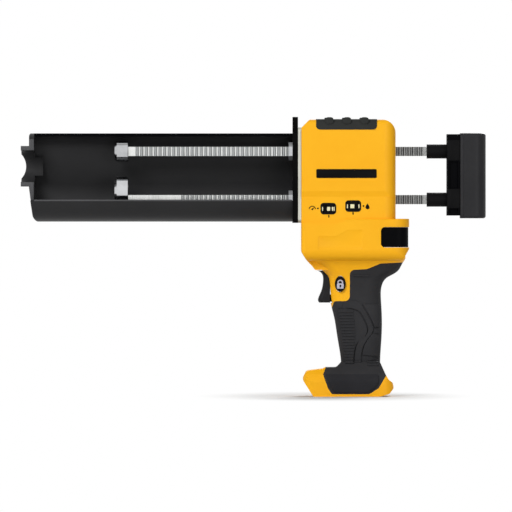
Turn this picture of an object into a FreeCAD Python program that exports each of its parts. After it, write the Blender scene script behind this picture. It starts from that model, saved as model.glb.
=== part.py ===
import FreeCAD, Part
import Sketcher
import math
import os

# Two-component cordless dispensing tool, in millimetres.
# X runs from the nose (-X) to the pull handle (+X), Y across the tool (left side at -Y), Z up.
# The origin is the centre of the battery dock, on the plane that the foot stands on.

V = FreeCAD.Vector
X_AXIS = V(1, 0, 0)
Y_AXIS = V(0, 1, 0)
Z_AXIS = V(0, 0, 1)

# Driving dimensions: name, value, meaning.
SIZES = [
    ("wall", 2.5, "wall of the housing"),
    ("slide_gap", 0.3, "gap round a sliding plastic piece"),
    ("fit_gap", 0.05, "running clearance of a bore or guide"),
    ("seat_gap", 0.02, "clearance of a seated piece"),
    ("body_front", -51.0, "front face of the housing"),
    ("body_rear", 52.5, "rear face of the upper housing"),
    ("body_cap", 34.5, "height of the housing above the upper rack"),
    ("upper_half", 38.0, "half width of the upper housing"),
    ("band_half", 36.0, "half width of the recessed switch band"),
    ("band_high", 28.8, "height of the recessed switch band"),
    ("band_slope", 6.0, "height of the slope above the switch band"),
    ("bulge_half", 39.5, "half width of the motor housing"),
    ("bulge_high", 41.5, "height of the motor housing at the front"),
    ("shelf_rise", 4.5, "rise of the motor housing's top towards the rear"),
    ("bulge_rear", 67.4, "rear end of the motor housing"),
    ("handle_high", 149.0, "height of the foot and handle under the motor housing"),
    ("hood_half", 20.0, "half width of the trigger hood"),
    ("foot_half", 37.0, "half width of the foot"),
    ("foot_front", -49.3, "front bumper tip of the foot"),
    ("foot_rear", 50.2, "rear bumper tip of the foot"),
    ("grip_skin", 2.5, "thickness of the soft grip"),
    ("grip_half", 18.5, "half width of the handle"),
    ("dock_half", 27.0, "half width of the battery dock"),
    ("dock_mouth", 22.0, "half width between the dock rails"),
    ("dock_depth", 15.0, "depth of the battery dock"),
    ("rail_depth", 5.0, "height of the dock rails"),
    ("dock_rear", 30.0, "rear wall of the battery dock"),
    ("bumper_front", -34.8, "front end of the top bumper"),
    ("bumper_rear", 31.9, "rear end of the top bumper"),
    ("bumper_skin", 1.4, "depth of the bumper in the housing"),
    ("bumper_drop", 11.0, "how far the bumper reaches down the sides"),
    ("bumper_rise", 2.1, "rise of the bumper ribs over the housing"),
    ("plate_steel", 3.5, "thickness of the front plate"),
    ("plate_half", 34.0, "half width of the front plate"),
    ("plate_drop", 25.5, "front plate below the lower rack"),
    ("plate_rise", 26.0, "front plate above the upper rack"),
    ("carrier_deep", 6.0, "thickness of the carriage plate"),
    ("carrier_rise", 19.8, "carriage plate above the upper rack"),
    ("tab_half", 14.0, "half width of the carriage plate's tab"),
    ("tab_high", 18.0, "height of the carriage plate's tab"),
    ("tray_length", 289.5, "length of the cartridge tray"),
    ("tray_skin", 2.6, "sheet of the cartridge tray"),
    ("tray_low_rise", 8.8, "centre of the tray's large round above the lower rack"),
    ("tray_high_drop", 0.9, "centre of the tray's small round below the upper rack"),
    ("tray_low_radius", 33.0, "outer radius of the tray's large round"),
    ("tray_high_radius", 20.8, "outer radius of the tray's small round"),
    ("tray_lip_drop", 1.2, "near lip of the tray below the lower rack's axis"),
    ("nose_lean", 5.0, "how far the tray's front wall leans back at its foot"),
    ("nose_lean_high", 38.0, "height over which the front wall leans"),
    ("front_wall", 5.5, "thickness of the tray's front wall"),
    ("collar_drop", 16.4, "nozzle collar below the upper rack"),
    ("collar_radius", 22.25, "outer radius of the nozzle collar"),
    ("collar_bore", 17.3, "inner radius of the nozzle collar"),
    ("collar_nose", 9.0, "length of the collar ahead of the tray"),
    ("collar_tail", 9.0, "length of the collar behind the front wall"),
    ("collar_tab", 10.0, "half height of the collar's tail, a tab inside the tray"),
    ("rack_size", 10.0, "side of the square racks"),
    ("rack_spacing", 53.0, "distance between the racks"),
    ("rack_rise", 25.7, "lower rack above the front of the motor housing"),
    ("rack_length", 359.0, "length of the racks"),
    ("rack_overhang", 65.5, "racks behind the housing at rest"),
    ("rack_tail", 34.0, "plain length at the rear of the racks"),
    ("upper_plain", 4.0, "plain length at the front of the upper rack"),
    ("lower_plain", 54.0, "plain length at the front of the lower rack"),
    ("rack_module", 1.6, "module of the racks and their pinions"),
    ("upper_piston_r", 11.25, "radius of the upper piston"),
    ("lower_piston_r", 18.0, "radius of the lower piston"),
    ("piston_length", 15.0, "length of the pistons"),
    ("lower_piston_rise", 7.6, "lower piston above its rack"),
    ("bush_flange_r", 10.0, "radius of the bush flanges"),
    ("bush_spigot_r", 8.5, "radius of the bush spigots"),
    ("bush_flange", 4.2, "thickness of the bush flanges"),
    ("shaft_x", 10.0, "drive shaft position along the tool"),
    ("shaft_r", 4.0, "radius of the drive shaft"),
    ("bearing_r", 8.0, "outer radius of the shaft bearings"),
    ("gear_plate_drop", 28.7, "underside of the gear plate below the lower rack"),
    ("gear_plate_deep", 4.0, "thickness of the gear plate"),
    ("top_plate_rise", 13.8, "underside of the top bearing plate above the upper rack"),
    ("top_plate_deep", 5.0, "thickness of the top bearing plate"),
    ("rear_plate_gap", 3.0, "gap between the rear plate and the rear wall"),
    ("rear_plate_deep", 3.0, "thickness of the rear plate"),
    ("chassis_half", 30.0, "half width of the gear frame plates"),
    ("gear_face", 6.0, "width of the gear teeth"),
    ("gear_module", 1.0, "module of the output gears"),
    ("motor_module", 0.8, "module of the motor gears"),
    ("idler_pin_r", 2.5, "radius of the idler pin"),
    ("motor_y", 4.0, "sideways position of the motor"),
    ("motor_r", 18.0, "radius of the motor"),
    ("motor_length", 35.0, "length of the motor"),
    ("motor_shaft_r", 2.0, "radius of the motor shaft"),
    ("sleeve_length", 21.9, "length of the rack sleeves"),
    ("sleeve_r", 7.8, "radius of the rack sleeves"),
    ("socket_deep", 9.0, "depth of the rack sockets in the pull handle"),
    ("pull_frame_deep", 14.8, "depth of the pull handle's frame"),
    ("pull_cover_deep", 28.1, "depth of the pull handle's cover"),
    ("pull_round", 2.6, "rounding of the pull handle cover's ends"),
    ("pull_half", 17.0, "half width of the pull handle"),
    ("pull_drop", 19.2, "pull handle below the lower rack"),
    ("pull_rise", 19.3, "pull handle above the upper rack"),
    ("trigger_half", 10.0, "half width of the trigger"),
    ("trigger_travel", 5.0, "travel of the trigger"),
    ("trigger_back", -19.2, "rear of the trigger's finger piece"),
    ("lock_x", -8.1, "lock-off button position along the tool"),
    ("lock_drop", 25.5, "lock-off button below the motor housing"),
    ("lock_half_wide", 5.7, "half width of the lock-off button"),
    ("lock_half_high", 8.6, "half height of the lock-off button"),
    ("lock_stand", 2.5, "how far the lock-off button stands out"),
    ("window_wide", 17.2, "width of a switch window"),
    ("window_high", 12.6, "height of a switch window"),
    ("speed_x", -21.4, "centre of the speed window"),
    ("speed_rise", 15.6, "speed window above the front of the motor housing"),
    ("drip_x", 5.8, "centre of the drip window"),
    ("drip_rise", 18.4, "drip window above the front of the motor housing"),
    ("knob_wide", 7.0, "width of a slider knob"),
    ("knob_travel", 4.0, "travel of a slider knob"),
    ("bezel_rim", 1.7, "rim of a switch bezel"),
    ("bezel_flange", 1.2, "flange of a switch bezel"),
    ("release_front", 36.2, "front edge of the release window"),
    ("release_rise", 14.6, "release window above the motor housing's floor"),
    ("release_high", 22.4, "height of the release window"),
    ("front_chamfer", 9.0, "chamfer of the housing's top front edge"),
    ("top_corner", 15.0, "round of the housing's top rear edge"),
    ("rear_edge", 13.0, "round of the housing's rear side edges"),
    ("brow_edge", 6.0, "round of the housing's top side edges"),
    ("bulge_edge", 16.0, "round of the motor housing's rear side edges"),
    ("belly_edge", 12.0, "round of the motor housing's lower edges"),
    ("step_x", -12.0, "where the motor housing's top starts to rise"),
    ("step_run", 10.0, "length of that rise"),
    ("panel_front", -33.0, "front edge of the side panels"),
    ("panel_rear", 16.0, "rear edge of the side panels"),
    ("panel_deep", 0.8, "depth of the side panels"),
    ("foot_corner", 12.0, "plan corners of the foot"),
    ("collar_reach", 15.0, "reach of the collar's prongs to the left"),
    ("rib_spacing", 19.3, "spacing of the bumper ribs"),
    ("rib_half", 4.5, "half width of a bumper rib"),
    ("release_inset", 1.0, "release button behind the motor housing's rear end"),
    ("switch_front", -2.0, "front of the switch module"),
    ("switch_deep", 25.0, "depth of the switch module"),
    ("switch_high", 26.0, "height of the switch module"),
    ("boss_r", 3.7, "radius of the screw bosses"),
    ("screw_r", 1.6, "shank radius of the housing screws"),
    ("screw_head_r", 3.1, "head radius of the housing screws"),
    ("screw_head", 2.4, "head height of the screws"),
]

# Tooth counts.
RACK_PINION_TEETH = 14
DRIVE_GEAR_TEETH = 32
IDLER_PINION_TEETH = 12
IDLER_WHEEL_TEETH = 36
MOTOR_PINION_TEETH = 12

# Stub teeth, as shares of the module, with some play between flanks.
ADDENDUM = 0.8
DEDENDUM = 1.05
FLANK_PLAY = 0.16
PRESSURE_ANGLE = math.radians(20)

doc = FreeCAD.newDocument("dispenser")


class Size:
    """A length that knows its number and the sheet expression that it comes from."""

    def __init__(self, text, value):
        self.text = text
        self.value = value

    def join(self, sign, other, value):
        """Return a new size for this size and another one joined by an operator."""
        return Size("(%s %s %s)" % (self.text, sign, other.text), value)

    def __add__(self, other):
        other = as_size(other)
        return self.join("+", other, self.value + other.value)

    def __radd__(self, other):
        return as_size(other) + self

    def __sub__(self, other):
        other = as_size(other)
        return self.join("-", other, self.value - other.value)

    def __rsub__(self, other):
        return as_size(other) - self

    def __mul__(self, other):
        other = as_size(other)
        return self.join("*", other, self.value * other.value)

    def __rmul__(self, other):
        return as_size(other) * self

    def __truediv__(self, other):
        other = as_size(other)
        return self.join("/", other, self.value / other.value)

    def __neg__(self):
        return as_size(0) - self

    def __float__(self):
        return float(self.value)


def as_size(value):
    """Return the value as a Size."""
    if isinstance(value, Size):
        return value
    return Size("(%r)" % float(value), float(value))


class Dimensions:
    """The spreadsheet of driving dimensions, each one read as an attribute."""

    def __init__(self):
        self.sheet = doc.addObject("Spreadsheet::Sheet", "dims")
        for row, (name, value, meaning) in enumerate(SIZES, start=1):
            self.sheet.set("A%d" % row, meaning)
            self.sheet.set("B%d" % row, repr(value))
            self.sheet.setAlias("B%d" % row, name)
        doc.recompute()
        for name, value, meaning in SIZES:
            setattr(self, name, Size("dims." + name, float(self.sheet.get(name))))


d = Dimensions()

# Heights, from the foot up.
bulge_floor = d.handle_high
bulge_step = bulge_floor + d.bulge_high
shelf_z = bulge_step + d.shelf_rise
band_top = bulge_step + d.band_high
lower_rack_z = bulge_step + d.rack_rise
upper_rack_z = lower_rack_z + d.rack_spacing
body_top = upper_rack_z + d.body_cap
bumper_low = body_top - d.bumper_drop
bumper_crown = body_top + d.bumper_rise
plate_low = lower_rack_z - d.plate_drop
plate_top = upper_rack_z + d.plate_rise
carrier_top = upper_rack_z + d.carrier_rise
tab_top = carrier_top + d.tab_high
tray_low_z = lower_rack_z + d.tray_low_rise
tray_high_z = upper_rack_z - d.tray_high_drop
tray_lip = lower_rack_z - d.tray_lip_drop
collar_z = upper_rack_z - d.collar_drop
lower_piston_z = lower_rack_z + d.lower_piston_rise
gear_plate_z = lower_rack_z - d.gear_plate_drop
gear_plate_top = gear_plate_z + d.gear_plate_deep
top_plate_z = upper_rack_z + d.top_plate_rise
pull_low = lower_rack_z - d.pull_drop
pull_top = upper_rack_z + d.pull_rise
lock_z = bulge_floor - d.lock_drop
speed_z = bulge_step + d.speed_rise
drip_z = bulge_step + d.drip_rise
release_low = bulge_floor + d.release_rise
release_top = release_low + d.release_high

# Stations along the tool.
plate_front = d.body_front - d.plate_steel
carrier_front = plate_front - d.carrier_deep
tray_front = carrier_front - d.tray_length
inner_front = d.body_front + d.wall
inner_rear = d.body_rear - d.wall
rear_plate_x = inner_rear - d.rear_plate_gap - d.rear_plate_deep
release_rear = d.bulge_rear - d.release_inset
rack_rear = d.body_rear + d.rack_overhang
rack_front = rack_rear - d.rack_length
teeth_rear = rack_rear - d.rack_tail
pull_front = rack_rear - d.socket_deep
pull_split = pull_front + d.pull_frame_deep
pull_rear = pull_split + d.pull_cover_deep

# Gears, racks and motor.
rack_half = d.rack_size / 2
addendum = d.rack_module * ADDENDUM
rack_pinion_r = d.rack_module * (RACK_PINION_TEETH / 2)
shaft_y = addendum - rack_half - rack_pinion_r
drive_gear_r = d.gear_module * (DRIVE_GEAR_TEETH / 2)
idler_pinion_r = d.gear_module * (IDLER_PINION_TEETH / 2)
idler_y = shaft_y + drive_gear_r + idler_pinion_r
motor_mesh = d.motor_module * ((IDLER_WHEEL_TEETH + MOTOR_PINION_TEETH) / 2)
motor_drop = idler_y - d.motor_y
motor_reach = math.sqrt(float(motor_mesh) ** 2 - float(motor_drop) ** 2)
motor_x = Size(
    "(dims.shaft_x - sqrt(%s ^ 2 - %s ^ 2))" % (motor_mesh.text, motor_drop.text),
    float(d.shaft_x) - motor_reach,
)
drive_gear_z = gear_plate_top + 1.5
idler_wheel_z = drive_gear_z + d.gear_face + 1.0


def bind(thing, prop, size):
    """Bind a property of a document object to a size."""
    thing.setExpression(prop, as_size(size).text)


def place(thing, x, y, z, rotation=FreeCAD.Rotation()):
    """Turn a document object and bind its place."""
    thing.Placement = FreeCAD.Placement(V(float(x), float(y), float(z)), rotation)
    bind(thing, "Placement.Base.x", x)
    bind(thing, "Placement.Base.y", y)
    bind(thing, "Placement.Base.z", z)
    return thing


def box(name, xs, ys, zs):
    """Make a box between two planes along each axis."""
    thing = doc.addObject("Part::Box", name)
    bind(thing, "Length", xs[1] - xs[0])
    bind(thing, "Width", ys[1] - ys[0])
    bind(thing, "Height", zs[1] - zs[0])
    return place(thing, xs[0], ys[0], zs[0])


def cylinder(name, axis, radius, start, end, first, second):
    """Make a cylinder along an axis between two stations; first and second are its other coordinates."""
    thing = doc.addObject("Part::Cylinder", name)
    bind(thing, "Radius", radius)
    bind(thing, "Height", end - start)
    spot = {"X": (start, first, second), "Y": (first, start, second), "Z": (first, second, start)}[axis]
    direction = {"X": X_AXIS, "Y": Y_AXIS, "Z": Z_AXIS}[axis]
    return place(thing, *spot, rotation=FreeCAD.Rotation(Z_AXIS, direction))


def fuse(name, things):
    """Join overlapping document objects into one."""
    joined = doc.addObject("Part::MultiFuse", name)
    joined.Shapes = things
    joined.Refine = True
    return joined


def cut(name, base, tools):
    """Cut one or more document objects from a base."""
    result = doc.addObject("Part::Cut", name)
    result.Base = base
    result.Tool = tools[0] if len(tools) == 1 else fuse(name + "_tools", tools)
    result.Refine = True
    return result


def group(name, things):
    """Keep equal pieces together as separate solids of one sub-part."""
    result = doc.addObject("Part::Compound", name)
    result.Links = things
    return result


def feature(name, shape):
    """Make a sub-part from a shape that is worked out from the sheet."""
    thing = doc.addObject("Part::Feature", name)
    thing.Shape = shape
    thing.Placement = FreeCAD.Placement()
    return thing


def plane_of(body, role):
    """Return an origin plane of a body by its role."""
    return [plane for plane in body.Origin.OriginFeatures if plane.Role == role][0]


def sketch_on(body, name, role, offset):
    """Make a sketch on one of a body's own origin planes, moved along its normal."""
    sketch = body.newObject("Sketcher::SketchObject", name)
    sketch.AttachmentSupport = (plane_of(body, role), "")
    sketch.MapMode = "FlatFace"
    bind(sketch, "AttachmentOffset.Base.z", offset)
    return sketch


def pin_point(sketch, curve, point, spot):
    """Tie a sketch point to two sizes."""
    for kind, size in zip(("DistanceX", "DistanceY"), spot):
        number = sketch.addConstraint(Sketcher.Constraint(kind, curve, point, float(size)))
        sketch.setExpression("Constraints[%d]" % number, as_size(size).text)


def draw_polygon(sketch, points):
    """Draw a closed outline whose corners are tied to sizes."""
    spots = [V(float(first), float(second), 0) for first, second in points]
    start = len(sketch.Geometry)
    count = len(points)
    for number in range(count):
        sketch.addGeometry(Part.LineSegment(spots[number], spots[(number + 1) % count]))
    for number in range(count):
        following = start + (number + 1) % count
        sketch.addConstraint(Sketcher.Constraint("Coincident", start + number, 2, following, 1))
    for number in range(count):
        pin_point(sketch, start + number, 1, points[number])


def draw_rectangle(sketch, firsts, seconds):
    """Draw a rectangle between two sizes each way."""
    corners = [(firsts[0], seconds[0]), (firsts[1], seconds[0]), (firsts[1], seconds[1]), (firsts[0], seconds[1])]
    draw_polygon(sketch, corners)


def draw_circle(sketch, first, second, radius):
    """Draw a circle whose centre and radius are tied to sizes."""
    centre = V(float(first), float(second), 0)
    curve = sketch.addGeometry(Part.Circle(centre, Z_AXIS, float(radius)))
    pin_point(sketch, curve, 3, (first, second))
    number = sketch.addConstraint(Sketcher.Constraint("Radius", curve, float(radius)))
    sketch.setExpression("Constraints[%d]" % number, as_size(radius).text)


def plate_body(name, role, start, end, outline, holes=()):
    """Make a plate: an outline with round holes, padded from start to end along its normal."""
    body = doc.addObject("PartDesign::Body", name)
    sketch = sketch_on(body, name + "_sketch", role, start)
    draw_polygon(sketch, outline)
    for first, second, radius in holes:
        draw_circle(sketch, first, second, radius)
    pad = body.newObject("PartDesign::Pad", name + "_pad")
    pad.Profile = sketch
    bind(pad, "Length", end - start)
    body.Tip = pad
    return body


def turned_body(name, x, y, z, direction, outline):
    """Make a turned piece: an outline of (radius, station) points revolved about an axis."""
    body = doc.addObject("PartDesign::Body", name)
    sketch = sketch_on(body, name + "_sketch", "XZ_Plane", 0)
    draw_polygon(sketch, outline)
    turn = body.newObject("PartDesign::Revolution", name + "_turn")
    turn.Profile = sketch
    turn.ReferenceAxis = (sketch, ["V_Axis"])
    turn.Angle = 360
    body.Tip = turn
    return place(body, x, y, z, FreeCAD.Rotation(Z_AXIS, direction))


def round_edges(body, direction, radius, name):
    """Round the edges of a body's last feature that run along a direction."""
    doc.recompute()
    base = body.Tip
    names = []
    for number, edge in enumerate(base.Shape.Edges, start=1):
        if len(edge.Vertexes) < 2:
            continue
        along = (edge.Vertexes[1].Point - edge.Vertexes[0].Point).normalize()
        if isinstance(edge.Curve, Part.Line) and abs(along.dot(direction)) > 0.999:
            names.append("Edge%d" % number)
    fillet = body.newObject("PartDesign::Fillet", name)
    fillet.Base = (base, names)
    bind(fillet, "Radius", radius)
    body.Tip = fillet
    return body


def rounded_wire(points, radii):
    """Return a closed flat wire through points, with each corner rounded by its radius."""
    count = len(points)
    edges = []
    starts = []
    ends = []
    middles = []
    for number in range(count):
        corner = points[number]
        before = (points[number - 1] - corner).normalize()
        after = (points[(number + 1) % count] - corner).normalize()
        half_turn = before.getAngle(after) / 2
        radius = radii[number]
        reach = radius / math.tan(half_turn)
        starts.append(corner + before * reach)
        ends.append(corner + after * reach)
        inward = (before + after).normalize()
        middles.append(corner + inward * (radius / math.sin(half_turn) - radius))
    for number in range(count):
        if radii[number] > 0:
            edges.append(Part.Arc(starts[number], middles[number], ends[number]).toShape())
        following = (number + 1) % count
        if (ends[number] - starts[following]).Length > 1e-6:
            edges.append(Part.LineSegment(ends[number], starts[following]).toShape())
    return Part.Wire(edges)


def side_prism(profile, half):
    """Return a prism across the tool from a side outline of (x, z, corner radius) points."""
    points = [V(float(x), -float(half), float(z)) for x, z, radius in profile]
    wire = rounded_wire(points, [float(radius) for x, z, radius in profile])
    return Part.Face(wire).extrude(V(0, 2 * float(half), 0))


def plan_prism(profile, low, top):
    """Return an upright prism from a plan outline of (x, y, corner radius) points."""
    points = [V(float(x), float(y), float(low)) for x, y, radius in profile]
    wire = rounded_wire(points, [float(radius) for x, y, radius in profile])
    return Part.Face(wire).extrude(V(0, 0, float(top) - float(low)))


def end_prism(profile, front, rear):
    """Return a prism along the tool from an end outline of (y, z, corner radius) points."""
    points = [V(float(front), float(y), float(z)) for y, z, radius in profile]
    wire = rounded_wire(points, [float(radius) for y, z, radius in profile])
    return Part.Face(wire).extrude(V(float(rear) - float(front), 0, 0))


def solid_box(xs, ys, zs):
    """Return a plain box shape between two planes along each axis."""
    low = V(float(xs[0]), float(ys[0]), float(zs[0]))
    high = V(float(xs[1]), float(ys[1]), float(zs[1]))
    return Part.makeBox(high.x - low.x, high.y - low.y, high.z - low.z, low)


def solid_rod(radius, start, end, axis, first, second):
    """Return a plain cylinder shape along an axis between two stations."""
    height = float(end) - float(start)
    first = float(first)
    second = float(second)
    spot = {"X": V(start, first, second), "Y": V(first, start, second), "Z": V(first, second, start)}[axis]
    direction = {"X": X_AXIS, "Y": Y_AXIS, "Z": Z_AXIS}[axis]
    return Part.makeCylinder(float(radius), height, spot, direction)


# Handle outline, station by station: share of the handle's height, front, rear, extra half width.
HANDLE_STATIONS = [
    (0.161, -8.0, 36.5, 0.5),
    (0.275, -7.4, 35.9, -0.5),
    (0.376, -9.6, 36.8, 0.2),
    (0.483, -12.2, 37.7, 0.5),
    (0.597, -15.2, 37.7, 0.0),
    (0.698, -18.8, 36.9, -0.5),
    (0.792, -20.4, 36.9, 0.0),
    (0.859, -21.2, 40.8, 1.0),
    (0.913, -26.0, 53.2, 3.5),
    (0.946, -31.5, 57.6, 5.6),
    (0.987, -40.0, 60.9, 9.0),
    (1.047, -45.0, 63.0, 14.0),
]

# Side outline of the soft grip: along the tool, height, corner radius.
GRIP_OUTLINE = [
    (-24.0, bulge_floor - 51.0, 0.0),
    (-16.9, bulge_floor - 51.0, 1.0),
    (-14.9, bulge_floor - 44.3, 3.0),
    (2.3, bulge_floor - 44.3, 5.5),
    (2.3, bulge_floor - 10.2, 5.5),
    (21.0, bulge_floor - 9.2, 8.0),
    (36.0, bulge_floor - 3.0, 8.0),
    (70.0, bulge_floor - 1.4, 0.0),
    (70.0, 30.0, 0.0),
    (42.5, 24.0, 4.0),
    (33.7, 9.2, 3.0),
    (23.3, 2.75, 3.0),
    (-17.5, 2.75, 3.0),
    (-21.7, 9.0, 2.0),
    (-27.2, 24.6, 1.5),
    (-24.2, 32.0, 1.0),
    (-24.0, 40.0, 0.0),
]

# Side outline of the trigger hood under the motor housing: along the tool, drop below the motor housing.
HOOD_OUTLINE = [
    (d.body_front + 4.0, -9.0),
    (d.body_front + 6.4, 0.0),
    (d.body_front + 12.2, 6.0),
    (d.body_front + 15.4, 10.2),
    (d.body_front + 31.0, 10.2),
    (d.body_front + 41.0, -9.0),
]

# Side outline of the foot between its bumper tips: along the tool, height, corner radius.
FOOT_OUTLINE = [
    (d.foot_front + 11.5, 0.0, 2.0),
    (d.foot_front - 0.6, 19.0, 6.0),
    (d.foot_front + 4.2, 28.2, 5.0),
    (-27.0, 30.4, 2.0),
    (-24.2, 31.9, 1.0),
    (-12.0, 31.9, 5.0),
    (-6.8, 37.8, 2.0),
    (35.5, 37.8, 2.0),
    (41.6, 24.0, 2.0),
    (d.foot_rear - 5.2, 18.4, 2.0),
    (d.foot_rear - 1.0, 15.2, 3.0),
    (d.foot_rear + 0.4, 9.4, 3.0),
    (d.foot_rear - 4.6, 3.0, 4.0),
    (d.foot_rear - 15.1, 0.0, 3.0),
]
FOOT_TOP = 38.5

# Housing screws: along the tool, height, seat of the head across the tool.
HOUSING_SCREWS = [
    (d.body_front + 10.0, body_top - 9.0, d.upper_half - 5.0),
    (d.body_rear - 14.5, body_top - 9.0, d.upper_half - 5.0),
    (d.body_front + 9.0, bulge_floor + 23.0, d.bulge_half - 6.5),
    (d.panel_rear + 2.0, bulge_floor + 23.0, d.bulge_half - 6.5),
    (as_size(24.0), bulge_floor - 19.0, d.grip_half - 5.5),
    (as_size(13.0), as_size(46.0), d.grip_half - 6.5),
]
SCREW_TIP_Y = -10.0


# Trigger outline, station by station: drop below the motor housing, front.
TRIGGER_STATIONS = [
    (46.0, -31.0),
    (43.0, -32.5),
    (39.0, -31.4),
    (34.0, -29.2),
    (29.0, -27.7),
    (23.0, -26.9),
    (18.0, -26.9),
    (14.0, -28.4),
    (10.8, -34.5),
]

# Trigger stem, in the middle of the neck below the lock-off button.
STEM_HALF = 5.0
STEM_LOW = bulge_floor - 45.0
STEM_TOP = bulge_floor - 37.0


def inner_round(radius, inset):
    """Return an edge's round on a skin that lies an inset inside the outer one."""
    return max(float(radius) - inset, 1.0)


def upper_block(inset, low):
    """Return the upper housing block, shrunk by an inset, from a given height up."""
    front = float(d.body_front) + inset
    rear = float(d.body_rear) - inset
    top = float(body_top) - inset
    half = float(d.upper_half) - inset
    chamfer = float(d.front_chamfer)
    corner = inner_round(d.top_corner, inset)
    edge = inner_round(d.rear_edge, inset)
    brow = inner_round(d.brow_edge, inset)
    side = [(front, low, 0), (front, top - chamfer, 2), (front + chamfer, top, 2), (rear, top, corner), (rear, low, 0)]
    plan = [(front, -half, 2), (rear, -half, edge), (rear, half, edge), (front, half, 2)]
    foot = float(d.band_half) - inset
    slope = low + float(d.band_slope)
    end = [
        (-foot, low, 0),
        (foot, low, 0),
        (half, slope, 3),
        (half, top, brow),
        (-half, top, brow),
        (-half, slope, 3),
    ]
    block = side_prism(side, half + 1).common(plan_prism(plan, low - 1, top + 1))
    return block.common(end_prism(end, front - 1, rear + 1))


def band_block(inset):
    """Return the recessed switch band between the upper block and the motor housing."""
    front = float(d.body_front) + inset
    rear = float(d.body_rear) - inset
    half = float(d.band_half) - inset
    edge = inner_round(d.rear_edge - 1, inset)
    plan = [(front, -half, 2), (rear, -half, edge), (rear, half, edge), (front, half, 2)]
    overlap = 6.0 + 2 * inset
    return plan_prism(plan, float(bulge_step) - overlap, float(band_top) + overlap)


def bulge_block(inset):
    """Return the motor housing, with its upper edge stepping up towards the rear."""
    front = float(d.body_front) + inset
    rear = float(d.bulge_rear) - inset
    floor = float(bulge_floor) + inset
    half = float(d.bulge_half) - inset
    step = float(bulge_step) - inset
    shelf = float(shelf_z) - inset
    side = [
        (front, step, 0),
        (d.step_x, step, 8),
        (d.step_x + d.step_run, shelf, 8),
        (rear, shelf, 1.0),
        (rear, floor + 13.0, 2),
        (rear - 7.6, floor, 3),
        (front + 6.2, floor, 3),
        (front, floor + 10.0, 7),
    ]
    round_rear = inner_round(d.bulge_edge, inset)
    plan = [(front, -half, 4), (rear, -half, round_rear), (rear, half, round_rear), (front, half, 4)]
    belly = inner_round(d.belly_edge, inset)
    end = [(-half, floor, belly), (half, floor, belly), (half, shelf, 1.5), (-half, shelf, 1.5)]
    block = side_prism(side, half + 1).common(plan_prism(plan, floor - 1, shelf + 1))
    return block.common(end_prism(end, front - 1, rear + 1))


def handle_loft(inset):
    """Return the handle and neck, lofted through rounded sections, shrunk by an inset."""
    wires = []
    for share, front, rear, extra in HANDLE_STATIONS:
        height = share * float(bulge_floor)
        half = float(d.grip_half) + extra - inset
        front = front + inset
        rear = rear - inset
        corner = min(half, (rear - front) / 2) * 0.8
        spots = [(front, -half), (rear, -half), (rear, half), (front, half)]
        wires.append(rounded_wire([V(x, y, height) for x, y in spots], [corner] * 4))
    return Part.makeLoft(wires, True, False)


def hood_block():
    """Return the hood that carries the motor housing's underside down to the trigger."""
    side = [(x, bulge_floor - drop, 2) for x, drop in HOOD_OUTLINE]
    half = float(d.hood_half)
    front = HOOD_OUTLINE[0][0]
    rear = HOOD_OUTLINE[-1][0]
    edge = half - 6
    plan = [(front, -half, edge), (rear, -half, 0), (rear, half, 0), (front, half, edge)]
    drops = [drop for x, drop in HOOD_OUTLINE]
    block = plan_prism(plan, bulge_floor - max(drops) - 1, bulge_floor - min(drops) + 1)
    return side_prism(side, half + 1).common(block)


def foot_block(inset):
    """Return the foot with its bumpers and sloping shoulders, shrunk by an inset above the base plane."""
    points = [V(float(x), -float(d.foot_half) - 1, z) for x, z, radius in FOOT_OUTLINE]
    face = Part.Face(rounded_wire(points, [radius for x, z, radius in FOOT_OUTLINE]))
    if inset:
        face = face.makeOffset2D(-inset, 2)
    prism = face.extrude(V(0, 2 * float(d.foot_half) + 2, 0))
    half = float(d.foot_half) - inset
    shoulder = float(d.grip_half) + 1.5 - inset
    end = [
        (-half, -1, 0),
        (half, -1, 0),
        (half, 17.0 - inset / 2, 6),
        (half - 4.0, 25.0 - inset, 4),
        (shoulder, FOOT_TOP - inset, 0),
        (-shoulder, FOOT_TOP - inset, 0),
        (4.0 - half, 25.0 - inset, 4),
        (-half, 17.0 - inset / 2, 6),
    ]
    front = float(d.foot_front) + inset
    rear = float(d.foot_rear) - inset
    corner = d.foot_corner
    plan = [(front, -half, corner), (rear, -half, corner), (rear, half, corner), (front, half, corner)]
    block = prism.common(end_prism(end, front - 1, rear + 1))
    return block.common(plan_prism(plan, -2, FOOT_TOP + 2))


def half_space(left):
    """Return a large box on one side of the tool's middle plane."""
    reach = 2 * float(d.tray_length)
    ys = (-reach, 0) if left else (0, reach)
    return solid_box((-reach, reach), ys, (-reach, reach))


def grip_shell():
    """Return the soft grip of both sides as one shell."""
    outside = handle_loft(0).fuse(foot_block(0))
    region = side_prism(GRIP_OUTLINE, d.foot_half + 10)
    skin = float(d.grip_skin)
    return outside.common(region).cut([handle_loft(skin), foot_block(skin)])


def bumper_region():
    """Return the block of space that the top bumper occupies along the tool."""
    side = [
        (d.bumper_front, bumper_low, 4.4),
        (d.bumper_rear, bumper_low, 4.4),
        (d.bumper_rear, body_top + 20, 0),
        (d.bumper_front, body_top + 20, 0),
    ]
    return side_prism(side, d.upper_half + 10)


def window_cut(x, z):
    """Return the cutter of one switch window in the left side."""
    half_wide = float(d.window_wide) / 2
    half_high = float(d.window_high) / 2
    x = float(x)
    z = float(z)
    corner = 3.5
    profile = [
        (x - half_wide, z - half_high, corner),
        (x + half_wide, z - half_high, corner),
        (x + half_wide, z + half_high, corner),
        (x - half_wide, z + half_high, corner),
    ]
    reach = float(d.band_half) + 5
    prism = side_prism(profile, reach)
    return prism.common(half_space(True))


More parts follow.
